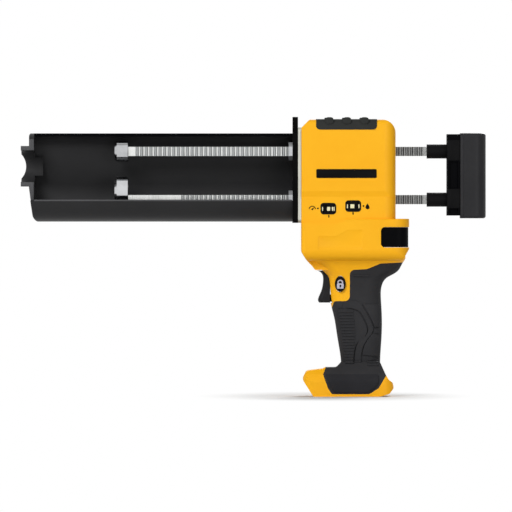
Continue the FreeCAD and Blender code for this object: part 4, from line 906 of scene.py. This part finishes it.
@dataclass
class SideMarks:
    """Plain marks on the left side: the bare label bar and generic signs at the two switches."""

    label_low: Pair = (-34.6 * MM, 239.6 * MM)
    label_high: Pair = (31.6 * MM, 249.4 * MM)
    label_face: float = -38.0 * MM
    band_face: float = -36.0 * MM
    stand: float = 0.22 * MM
    edge: float = 0.08 * MM
    label_stand: float = 0.352 * MM
    label_corner: float = 1.2 * MM
    label_edge: float = 0.12 * MM
    gauge: Pair = (-39.0 * MM, 205.4 * MM)
    gauge_radius: float = 3.4 * MM
    gauge_thick: float = 0.45 * MM
    gauge_foot: float = 0.3 * MM
    needle_tip: Triple = (1.0 * MM, 0.0, 1.1 * MM)
    drop: Pair = (21.5 * MM, 208.6 * MM)
    drop_half: float = 3.2 * MM
    drop_wide: float = 0.92
    drop_taper: float = 1.2
    dots: tuple[Pair, ...] = ((-32.8 * MM, 206.4 * MM), (17.2 * MM, 209.0 * MM))
    dot_radius: float = 0.95 * MM
    hub_radius: float = 0.9 * MM
    ticks: tuple[Pair, ...] = ((-20.9 * MM, 197.7 * MM), (5.7 * MM, 200.9 * MM))
    tick_half: Pair = (0.65 * MM, 1.4 * MM)
    tick_corner: float = 0.4 * MM

    def build(self, palette: Palette) -> None:
        """Model the marks.

        Args:
            palette: The materials.
        """
        x, z = self.gauge
        marks = [pad("label_bar", self.label_low, self.label_high, self.label_face + SINK,
                     self.label_face - self.label_stand, self.label_corner, self.label_edge),
                 arch("speed_gauge", (x, self.band_face, z), self.gauge_radius, self.gauge_thick,
                      z + self.gauge_foot),
                 self.needle(), self.drop_sign()]
        marks += [self.dot(number, spot) for number, spot in enumerate(self.dots)]
        marks += [self.tick(number, spot) for number, spot in enumerate(self.ticks)]
        for mark in marks:
            mark.finish(palette, "black_ink", "housing", "black_plastic")

    def disc(self, name: str, spot: Pair, radius: float, sides: int) -> Bench:
        """Model a thin disc round an X and Z of the band that carries the switches."""
        disc = Bench.disc(name, (spot[0], self.band_face + SINK, spot[1]), radius, sides)
        return disc.pull(-SINK - self.stand)

    def needle(self) -> Bench:
        """Model the needle of the gauge, a slanted bar on its hub.

        Returns:
            The bench with the needle.
        """
        x, z = self.gauge
        needle = self.disc("speed_needle", self.gauge, self.hub_radius, 16)
        foot = z + self.gauge_foot
        needle.edit(Part.CORNERS, lambda corner: corner.co.x > x and corner.co.z > foot)
        bpy.ops.transform.translate(value=self.needle_tip)
        return needle.done()

    def drop_sign(self) -> Bench:
        """Model a drop, for the switch that stops the flow.

        Returns:
            The bench with the drop.
        """
        x, z = self.drop
        drop = self.disc("drip_drop", self.drop, self.drop_half, 32)
        for corner in drop.piece.data.vertices:
            turn = math.atan2(corner.co.x - x, corner.co.z - z)
            wide = self.drop_wide * math.sin(turn) * abs(math.sin(turn / 2)) ** self.drop_taper
            corner.co.x = x + self.drop_half * wide
        return drop.round(at_depth(self.band_face - self.stand), self.edge, 2)

    def dot(self, number: int, spot: Pair) -> Bench:
        """Model the dot between a sign and its switch."""
        dot = self.disc("switch_dot_%d" % number, spot, self.dot_radius, 16)
        return dot.round(at_depth(self.band_face - self.stand), self.edge, 2)

    def tick(self, number: int, spot: Pair) -> Bench:
        """Model the short tick below a switch.

        Args:
            number: The switch's number.
            spot: The X and Z of the tick's centre in metres.

        Returns:
            The bench with the tick.
        """
        (x, z), (wide, high) = spot, self.tick_half
        return pad("switch_tick_%d" % number, (x - wide, z - high), (x + wide, z + high),
                   self.band_face + SINK, self.band_face - self.stand, self.tick_corner, self.edge)


@dataclass
class SwitchLights:
    """Pale lugs on a slide switch's knob, and pale posts at the ends of its window."""

    name: str
    body: str
    height: float
    lugs: tuple[Pair, ...]
    posts: tuple[Pair, ...]
    half_high: float = 2.2 * MM
    knob_face: float = -35.6 * MM
    lug_face: float = -36.9 * MM
    post_back: float = -33.4 * MM
    post_face: float = -36.2 * MM
    corner: float = 0.5 * MM
    edge: float = 0.25 * MM

    def build(self, palette: Palette) -> None:
        """Model the lugs and the posts.

        Args:
            palette: The materials.
        """
        for number, ends in enumerate(self.lugs):
            name = "%s_lug_%d" % (self.name, number)
            lug = self.bar(name, ends, self.knob_face, self.lug_face)
            lug.finish(palette, "cream", self.body, "slider_cream")
        for number, ends in enumerate(self.posts):
            name = "%s_post_%d" % (self.name, number)
            post = self.bar(name, ends, self.post_back, self.post_face)
            post.finish(palette, "cream", "housing", "slider_cream")

    def bar(self, name: str, ends: Pair, back: float, face: float) -> Bench:
        """Model one pale bar between two X of the window, from its back's Y to its face's."""
        low, high = self.height - self.half_high, self.height + self.half_high
        return pad(name, (ends[0], low), (ends[1], high), back, face, self.corner, self.edge)


@dataclass
class LockSign:
    """Generic padlock sign on the lock-off button."""

    centre: Pair = (-8.1 * MM, 123.4 * MM)
    face: float = -21.5 * MM
    stand: float = 0.3 * MM
    half: float = 3.7 * MM
    case_low: float = 5.0 * MM
    case_top: float = 0.9 * MM
    case_corner: float = 1.0 * MM
    case_edge: float = 0.1 * MM
    shackle: float = 2.5 * MM
    shackle_thick: float = 0.8 * MM
    shackle_rise: float = 1.6 * MM
    shackle_foot: float = 0.8 * MM
    hole: float = 1.0 * MM
    hole_sink: float = 0.05 * MM
    hole_thick: float = 0.2 * MM
    hole_drop: float = 1.7 * MM
    slot_top: float = 2.3 * MM
    slot_long: float = 1.0 * MM

    def build(self, palette: Palette) -> None:
        """Model the padlock: its case, its shackle and its keyhole.

        Args:
            palette: The materials.
        """
        x, z = self.centre
        front = self.face - self.stand
        case = pad("lock_sign_case", (x - self.half, z - self.case_low),
                   (x + self.half, z + self.case_top), self.face + SINK, front, self.case_corner,
                   self.case_edge)
        shackle = arch("lock_sign_shackle", (x, self.face, z + self.shackle_rise), self.shackle,
                       self.shackle_thick, z + self.shackle_foot)
        for bench in (case, shackle):
            bench.finish(palette, "grey_ink", "lock_button", "black_plastic")
        hole = (x, front + self.hole_sink, z - self.hole_drop)
        keyhole = Bench.disc("lock_sign_keyhole", hole, self.hole, 20)
        keyhole.pull(-self.hole_thick)
        keyhole.edit(Part.CORNERS, lambda corner: corner.co.z < z - self.slot_top)
        bpy.ops.transform.translate(value=(0.0, 0.0, -self.slot_long))
        keyhole.done()
        keyhole.finish(palette, "black_ink", "lock_button", "black_plastic")


@dataclass(frozen=True)
class Line:
    """A smooth line through a few points of the tool's side, given as X and Z in millimetres."""

    points: tuple[Pair, ...]

    def at(self, share: float) -> Pair:
        """Return the point at a share of the line, on a cubic curve that passes through every point.

        Args:
            share: From 0 at the first point to 1 at the last.

        Returns:
            X and Z in metres.
        """
        last = len(self.points) - 1
        step = min(int(share * last), last - 1)
        t = share * last - step
        near = [min(max(step + n, 0), last) for n in (-1, 0, 1, 2)]
        before, start, end, after = (self.points[number] for number in near)
        found = []
        for a, b, c, d in zip(before, start, end, after):
            found.append(0.5 * (2 * b + (c - a) * t + (2 * a - 5 * b + 4 * c - d) * t * t
                                + (3 * b - a - 3 * c + d) * t ** 3) * MM)
        return found[0], found[1]


GROOVE = 1.4
INNER_EDGE = ((-6.0, 97.0), (5.0, 96.6), (13.2, 93.0), (17.6, 87.0), (21.2, 79.8), (22.6, 73.0),
              (19.6, 66.6), (12.4, 60.8), (9.0, 53.0), (7.8, 44.0), (7.6, 37.0))
OUTER_EDGE = ((-4.0, 104.0), (8.6, 104.6), (15.0, 100.6), (20.0, 92.6), (24.4, 83.8), (27.6, 75.6),
              (25.6, 68.6), (20.4, 61.4), (16.4, 53.6), (14.6, 45.0), (14.6, 37.0))
STRAP_FRONT = ((28.6, 74.6), (28.0, 72.0), (27.4, 69.4))
STRAP_REAR = ((35.2, 74.6), (35.3, 72.0), (35.3, 69.4))
SKIRT_FRONT = ((-23.6, 24.0), (-21.4, 17.0), (-19.0, 10.6), (-15.4, 4.6))
SKIRT_REAR = ((33.0, 24.0), (33.6, 17.0), (30.0, 10.6), (22.0, 4.6))


@dataclass
class GripRelief:
    """Raised rubber panels and ribs of the grip, laid on the left CAD grip and copied to the right.

    Places of edges and ribs, and heights of ribs, are in millimetres, as the points of a Line are.
    """

    rib_count: int = 17
    rib_low: float = 41.0
    rib_pitch: float = 3.25
    rib_half: float = 0.85
    rib_high: float = 2.6
    rib_inset: float = 6.0
    rib_rear: float = 6.0
    rib_bulge: float = 2.2
    brow_ends: Pair = (6.5, 23.5)
    brow_height: float = 132.6
    brow_high: float = 1.1
    low_ends: Pair = (21.5, 33.5)
    low_first: float = 34.4
    low_pitch: float = 3.1
    low_high: float = 1.2
    front_foot: Pair = (-8.0, 41.0)
    front_lean: Pair = (8.0, 56.0)
    panel_inset: float = 5.5
    panel_rear: float = 34.0
    panel_drop: float = 1.6
    panel_cells: tuple[int, int] = (14, 40)
    rib_cells: tuple[int, int] = (12, 2)
    panel_high: float = 1.7 * MM
    panel_edge: float = 0.6 * MM
    rib_edge: float = 0.4 * MM
    away: float = -60 * MM
    screws: tuple[Pair, ...] = ((24.0 * MM, 130.0 * MM), (13.0 * MM, 46.0 * MM))

    def build(self, palette: Palette) -> None:
        """Model the panels and ribs of the left side, and copy them to the right.

        Args:
            palette: The materials.
        """
        pieces = [self.bar("left_grip_brow", self.brow_ends, self.brow_height, self.brow_high)]
        for name, first, second in self.panels():
            pieces.append(self.lay("left_grip_%s" % name, first, second, *self.panel_cells))
            self.raise_up(pieces[-1], self.panel_high, self.panel_edge)
        ribs = [self.rib(number) for number in range(self.rib_count)]
        heights = [self.low_first + self.low_pitch * number for number in range(3)]
        low = [self.bar("left_grip_low_ribs", self.low_ends, height, self.low_high)
               for height in heights]
        pieces += [row[0].join(row[1:]) for row in (ribs, low)]
        for left in pieces:
            # The foot skirt takes the darker rubber as painted shade; the other panels and ribs take
            # the grip rubber.
            tone = "skirt" if "skirt" in left.piece.name else "rubber"
            left.finish_pair(palette, tone, "housing", "grip_rubber", self.screws)

    def panels(self) -> list[tuple[str, Line, Line]]:
        """Draw the panels, from the top down.

        Returns:
            The name, the front edge and the rear edge of each.
        """
        palm = tuple((x - GROOVE, z - 0.8 * GROOVE) for x, z in INNER_EDGE)
        front = tuple((self.front(z) + self.panel_inset, z) for _, z in palm)
        back = tuple((x + GROOVE, z + 0.5 * GROOVE) for x, z in OUTER_EDGE)
        upper, lower = back[2:6], back[6:10]
        upper_rear = tuple((self.panel_rear, z) for _, z in upper)
        lower_rear = tuple((self.panel_rear, z - self.panel_drop) for _, z in lower)
        return [
            ("palm_panel", Line(front), Line(palm)),
            ("thumb_band", Line(INNER_EDGE), Line(OUTER_EDGE)),
            ("upper_back_panel", Line(upper), Line(upper_rear)),
            ("back_strap", Line(STRAP_FRONT), Line(STRAP_REAR)),
            ("lower_back_panel", Line(lower), Line(lower_rear)),
            ("foot_skirt", Line(SKIRT_FRONT), Line(SKIRT_REAR)),
        ]

    def front(self, height: float) -> float:
        """Return the X of the grip's front edge at a height, both in millimetres."""
        (x, foot), (forward, rise) = self.front_foot, self.front_lean
        return x - forward * max(height - foot, 0.0) / rise

    def lay(self, name: str, first: Line, second: Line, across: int, along: int) -> Bench:
        """Lay a patch between two edges on the CAD grip.

        Args:
            name: The piece's name.
            first: Its front edge, from the top down.
            second: Its rear edge.
            across: Cells from edge to edge.
            along: Cells along the edges.

        Returns:
            The bench with the patch on the surface, facing outwards.
        """
        def spot(u: float, v: float) -> Triple:
            """Return the place of a grid point."""
            (x0, z0), (x1, z1) = first.at(1 - v), second.at(1 - v)
            return x0 + (x1 - x0) * u, self.away, z0 + (z1 - z0) * u

        bench = Bench.patch(name, spot, across, along)
        return bench.modify("SHRINKWRAP", target=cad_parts["left_grip"], wrap_method="PROJECT",
                            use_project_y=True, use_positive_direction=True,
                            use_negative_direction=False)

    def raise_up(self, bench: Bench, high: float, edge: float) -> None:
        """Thicken a patch outwards and round its edges.

        Args:
            bench: The patch.
            high: How far it stands out, in metres.
            edge: The radius of its edges.
        """
        # At this offset four fifths of the thickness stand out, and the rest is sunk into the grip.
        bench.modify("SOLIDIFY", thickness=1.25 * high, offset=0.6)
        bench.modify("BEVEL", width=edge, segments=2, limit_method="ANGLE",
                     angle_limit=math.radians(40))

    def bar(self, name: str, ends: Pair, height: float, high: float) -> Bench:
        """Model one level rib on the surface.

        Args:
            name: The piece's name.
            ends: Its X from end to end, in millimetres.
            height: Its height on the tool in millimetres.
            high: How far it stands out in millimetres.

        Returns:
            The bench with the rib.
        """
        top, low = height + self.rib_half, height - self.rib_half
        first = Line(((ends[0], top), (ends[0], low)))
        second = Line(((ends[1], top), (ends[1], low)))
        rib = self.lay(name, first, second, *self.rib_cells)
        self.raise_up(rib, high * MM, self.rib_edge)
        return rib

    def rib(self, number: int) -> Bench:
        """Model one finger rib of the palm panel.

        Args:
            number: Its number, counted from below.

        Returns:
            The bench with the rib.
        """
        height = self.rib_low + number * self.rib_pitch
        rear = self.rib_rear + self.rib_bulge * math.sin(math.pi * number / (self.rib_count - 1))
        ends = (self.front(height) + self.rib_inset, rear)
        return self.bar("left_grip_ribs", ends, height, self.rib_high)


@dataclass
class BumperBars:
    """Three round bars across the top bumper, with their ends showing on both sides."""

    centres: tuple[float, ...] = (-20.3 * MM, -0.9 * MM, 18.3 * MM)
    half_wide: float = 4.8 * MM
    half_long: float = 39.7 * MM
    low: float = 298.6 * MM
    top: float = 306.3 * MM
    rounding: float = 3.4 * MM
    edge: float = 1.0 * MM

    def build(self, palette: Palette) -> None:
        """Model the first bar and copy it.

        Args:
            palette: The materials.
        """
        x = self.centres[0]
        first = Bench.block("bumper_bar_0", (x - self.half_wide, -self.half_long, self.low),
                            (x + self.half_wide, self.half_long, self.top))
        first.round(crosswise, self.rounding, 5)
        first.modify("BEVEL", width=self.edge, segments=3, limit_method="ANGLE",
                     angle_limit=math.radians(50))
        bars = [first] + [first.copy("bumper_bar_%d" % number, (centre - x, 0.0, 0.0))
                          for number, centre in enumerate(self.centres) if number]
        for bar in bars:
            bar.finish(palette, "bumper", "housing", "grip_rubber")


@dataclass
class SidePanels:
    """Dished panels in the recesses on both sides of the motor housing."""

    outline: tuple[Pair, ...] = (
        (-33.0, 163.5), (-32.4, 162.1), (-31.0, 161.5), (14.0, 161.5), (15.4, 162.1), (16.0, 163.5),
        (16.0, 181.0), (15.4, 182.4), (14.0, 183.0), (0.7, 183.0), (-1.0, 182.8), (-2.5, 182.1),
        (-10.5, 176.9), (-12.0, 176.2), (-13.7, 176.0), (-31.0, 176.0), (-32.4, 175.4),
        (-33.0, 174.0))
    face: float = -39.5 * MM
    back: float = -38.6 * MM
    slope: float = 1.8 * MM
    dish: float = 0.72 * MM
    screw: Pair = (18.0 * MM, 172.0 * MM)

    def build(self, palette: Palette) -> None:
        """Model the left panel as a plate whose middle is inset and sunk, and copy it to the right.

        Args:
            palette: The materials.
        """
        left = Bench.sheet("left_side_panel", self.outline, self.back)
        left.pull(self.face - self.back)
        left.edit(Part.FACES, at_depth(self.face))
        bpy.ops.mesh.inset(thickness=self.slope)
        bpy.ops.transform.translate(value=(0.0, self.dish, 0.0))
        left.done()
        left.finish_pair(palette, "yellow", "housing", "yellow_plastic", (self.screw,))


@dataclass
class TrayTrim:
    """Edges of the tray: its near lip's bead and front edges in a painted highlight grey, and its
    roof's bead in painted shade black.
    """

    front: float = -344.0 * MM
    rear: float = -61.0 * MM
    lip: float = 215.0 * MM
    outside: float = -31.6 * MM
    wide: float = 2.6 * MM
    high: float = 1.0 * MM
    overlap: float = 0.8 * MM
    roof: Pair = (285.9 * MM, 289.0 * MM)
    roof_edge: float = -3.0 * MM
    roof_sink: float = 0.3 * MM
    wall_edge: float = -15.0 * MM
    wall_stand: float = 0.3 * MM
    wall_round: float = 0.15 * MM
    rounding: float = 0.45
    upper_wall: tuple[Pair, ...] = (
        (-344.7, 282.5), (-349.7, 282.5), (-349.7, 274.9), (-358.7, 274.9), (-358.7, 270.4),
        (-344.7, 270.4))
    lower_wall: tuple[Pair, ...] = (
        (-347.9, 215.4), (-344.8, 215.4), (-344.8, 235.2), (-358.7, 235.2), (-358.7, 230.9),
        (-349.8, 230.9), (-349.6, 228.0))

    def build(self, palette: Palette) -> None:
        """Model the edges.

        Args:
            palette: The materials.
        """
        # The lip's bead and the front's edges take a paler grey than the tray: painted highlights.
        hem = self.rail("tray_hem", (self.outside, self.lip - self.overlap),
                        (self.outside + self.wide, self.lip + self.high))
        hem.finish(palette, "hem", "housing", "tray_black")
        # The roof's bead is near black: painted shade along the shadow under the tray's roof.
        bead = self.rail("tray_roof_bead", (self.roof_edge - self.overlap, self.roof[0]),
                         (self.roof_edge + self.roof_sink, self.roof[1]))
        bead.finish(palette, "jet", "housing", "tray_black")
        walls = {"tray_upper_edge": self.upper_wall, "tray_lower_edge": self.lower_wall}
        for name, outline in walls.items():
            edge = Bench.sheet(name, outline, self.wall_edge + SINK)
            edge.pull(-SINK - self.wall_stand)
            edge.round(at_depth(self.wall_edge - self.wall_stand), self.wall_round, 2)
            edge.finish(palette, "hem", "housing", "tray_black")

    def rail(self, name: str, low: Pair, high: Pair) -> Bench:
        """Model a bar along the tray with rounded edges.

        Args:
            name: The piece's name.
            low: Its smaller Y and Z in metres.
            high: Its greater Y and Z.

        Returns:
            The bench with the bar.
        """
        rail = Bench.block(name, (self.front, *low), (self.rear, *high))

        def lengthwise(edge: Any) -> bool:
            """Say whether an edge runs along the tool."""
            return abs(edge.verts[0].co.x - edge.verts[1].co.x) > 100 * MM

        thin = min(high[0] - low[0], high[1] - low[1])
        return rail.round(lengthwise, self.rounding * thin, 4)


@dataclass
class PullTrim:
    """Trim on both sides of the pull handle: beads on the cover, paler as a painted highlight of its
    front edge, and bosses at the sleeves.
    """

    cover_face: float = -17.0 * MM
    frame_face: float = -15.0 * MM
    bead_stand: float = 0.5 * MM
    bead_corner: float = 1.0 * MM
    boss_stand: float = 0.6 * MM
    boss_corner: float = 0.6 * MM
    edge: float = 0.4 * MM
    bead: tuple[Pair, Pair] = ((124.2 * MM, 199.0 * MM), (127.0 * MM, 285.8 * MM))
    bosses: tuple[tuple[Pair, Pair], ...] = (((109.3 * MM, 259.0 * MM), (123.5 * MM, 281.6 * MM)),
                                             ((109.3 * MM, 206.8 * MM), (123.5 * MM, 227.8 * MM)))

    def build(self, palette: Palette) -> None:
        """Model the trim of the left side and copy it to the right.

        Args:
            palette: The materials.
        """
        # The bead takes the paler grip rubber: a painted highlight along the cover's front edge.
        bead = pad("left_pull_bead", *self.bead, self.cover_face + SINK,
                   self.cover_face - self.bead_stand, self.bead_corner, self.edge)
        bead.finish_pair(palette, "rubber", "rack_carriage", "black_plastic")
        for number, ends in enumerate(self.bosses):
            boss = pad("left_pull_boss_%d" % number, *ends, self.frame_face + SINK,
                       self.frame_face - self.boss_stand, self.boss_corner, self.edge)
            boss.finish_pair(palette, "sleeve", "rack_carriage", "black_plastic")


@dataclass
class Studio:
    """Camera, lamps, world and floor."""

    aim: Triple = (-100.65 * MM, 0.0, 154.2 * MM)
    distance: float = 9.0
    view_wide: float = 563.2 * MM
    sensor: float = 36.0
    ambient: float = 0.235
    floor_half: float = 9.5
    floor_tone: float = 0.66
    floor_roughness: float = 0.9
    shadow_centre: float = -14 * MM
    shadow_near: float = 0.05
    shadow_far: float = 0.16
    shadow_deep: float = 0.46
    lamps: tuple[tuple[str, Triple, float, float], ...] = (
        ("key_lamp", (-1.3, -1.9, 1.5), 0.9, 41.0), ("fill_lamp", (0.9, -2.1, 0.12), 1.0, 17.8),
        ("back_lamp", (0.7, 2.0, 1.3), 0.9, 45.0))

    def camera(self) -> None:
        """Place the camera square to the left side, at the photograph's framing."""
        deselect()
        bpy.ops.object.camera_add(location=(self.aim[0], self.aim[1] - self.distance, self.aim[2]),
                                  rotation=FACING)
        camera = bpy.context.object
        camera.data.sensor_width = self.sensor
        camera.data.lens = self.sensor * self.distance / self.view_wide
        bpy.context.scene.camera = camera

    def lamp(self, name: str, place: Triple, size: float, power: float) -> None:
        """Add a square soft box that faces the tool.

        Args:
            name: The lamp's name.
            place: Its place in metres.
            size: Its side in metres.
            power: Its power in watts.
        """
        deselect()
        bpy.ops.object.light_add(type="AREA", location=place)
        lamp = bpy.context.object
        lamp.name = name
        lamp.data.size = size
        lamp.data.energy = power
        lamp.rotation_euler = (Vector(self.aim) - Vector(place)).to_track_quat("-Z", "Y").to_euler()

    def world(self) -> None:
        """Light the scene softly from all round, on a white background."""
        world = bpy.data.worlds.new("studio_world")
        bpy.context.scene.world = world
        world.use_nodes = True
        tree = world.node_tree
        tree.nodes.clear()
        output = tree.nodes.new("ShaderNodeOutputWorld")
        background = tree.nodes.new("ShaderNodeBackground")
        background.inputs["Color"].default_value = (1.0, 1.0, 1.0, 1.0)
        tree.links.new(background.outputs[0], output.inputs["Surface"])
        strength = tree.nodes.new("ShaderNodeMapRange")
        strength.inputs["To Min"].default_value = self.ambient
        strength.inputs["To Max"].default_value = 1.0
        tree.links.new(seen_directly(tree), strength.inputs["Value"])
        tree.links.new(strength.outputs[0], background.inputs["Strength"])

    def floor(self) -> None:
        """Lay a pale floor that shows the shadow near the foot and runs into the white behind."""
        deselect()
        bpy.ops.mesh.primitive_plane_add(size=2 * self.floor_half, location=ORIGIN)
        floor = bpy.context.object
        floor.name = "studio_floor"
        paint = Paint("studio_floor")
        reach = (paint.axis("X") - self.shadow_centre).reach(paint.axis("Y") * self.shadow_deep)
        seen = Signal(paint, seen_directly(paint.tree))
        paint.set(Base_Color=(self.floor_tone,) * 3, Roughness=self.floor_roughness)
        glow = paint.node("ShaderNodeEmission", None, {"Strength": 1.0})
        share = reach.fade(self.shadow_near, self.shadow_far) * seen
        shaders = {0: share, 1: paint.shader.outputs[0], 2: glow.outputs[0]}
        mix = paint.node("ShaderNodeMixShader", None, shaders)
        paint.link(mix.outputs[0], paint.output.inputs["Surface"])
        floor.data.materials.append(paint.material)

    def build(self) -> None:
        """Set up the whole studio."""
        bpy.context.scene.view_settings.view_transform = "Standard"
        self.camera()
        self.world()
        self.floor()
        for lamp in self.lamps:
            self.lamp(*lamp)


def seen_directly(tree: bpy.types.NodeTree) -> bpy.types.NodeSocket:
    """Return a socket that is 1 for what the eye sees, in gloss and glass too, and 0 for light.

    Args:
        tree: The node tree to add the nodes to.

    Returns:
        The socket.
    """
    path = tree.nodes.new("ShaderNodeLightPath")
    last = path.outputs["Is Camera Ray"]
    for name in ("Is Glossy Ray", "Is Transmission Ray"):
        either = tree.nodes.new("ShaderNodeMath")
        either.operation = "MAXIMUM"
        tree.links.new(last, either.inputs[0])
        tree.links.new(path.outputs[name], either.inputs[1])
        last = either.outputs[0]
    return last


def main() -> None:
    """Dress the frame, model the pieces and build the studio."""
    logging.basicConfig(level=logging.INFO, format="%(message)s")
    palette = Palette()
    palette.dress_frame()
    speed = SwitchLights("speed", "speed_slider", 205.8 * MM,
                         lugs=((-22.8 * MM, -19.4 * MM), (-17.5 * MM, -16.1 * MM)),
                         posts=((-28.6 * MM, -27.1 * MM), (-15.6 * MM, -14.2 * MM)))
    drip = SwitchLights("drip", "drip_slider", 208.7 * MM, lugs=((2.7 * MM, 7.1 * MM),),
                        posts=((-1.4 * MM, 0.1 * MM), (11.6 * MM, 13.0 * MM)))
    for group in (SideMarks(), speed, drip, LockSign(), GripRelief(), BumperBars(), SidePanels(),
                  TrayTrim(), PullTrim()):
        group.build(palette)
    Studio().build()


if __name__ == "__main__":
    main()
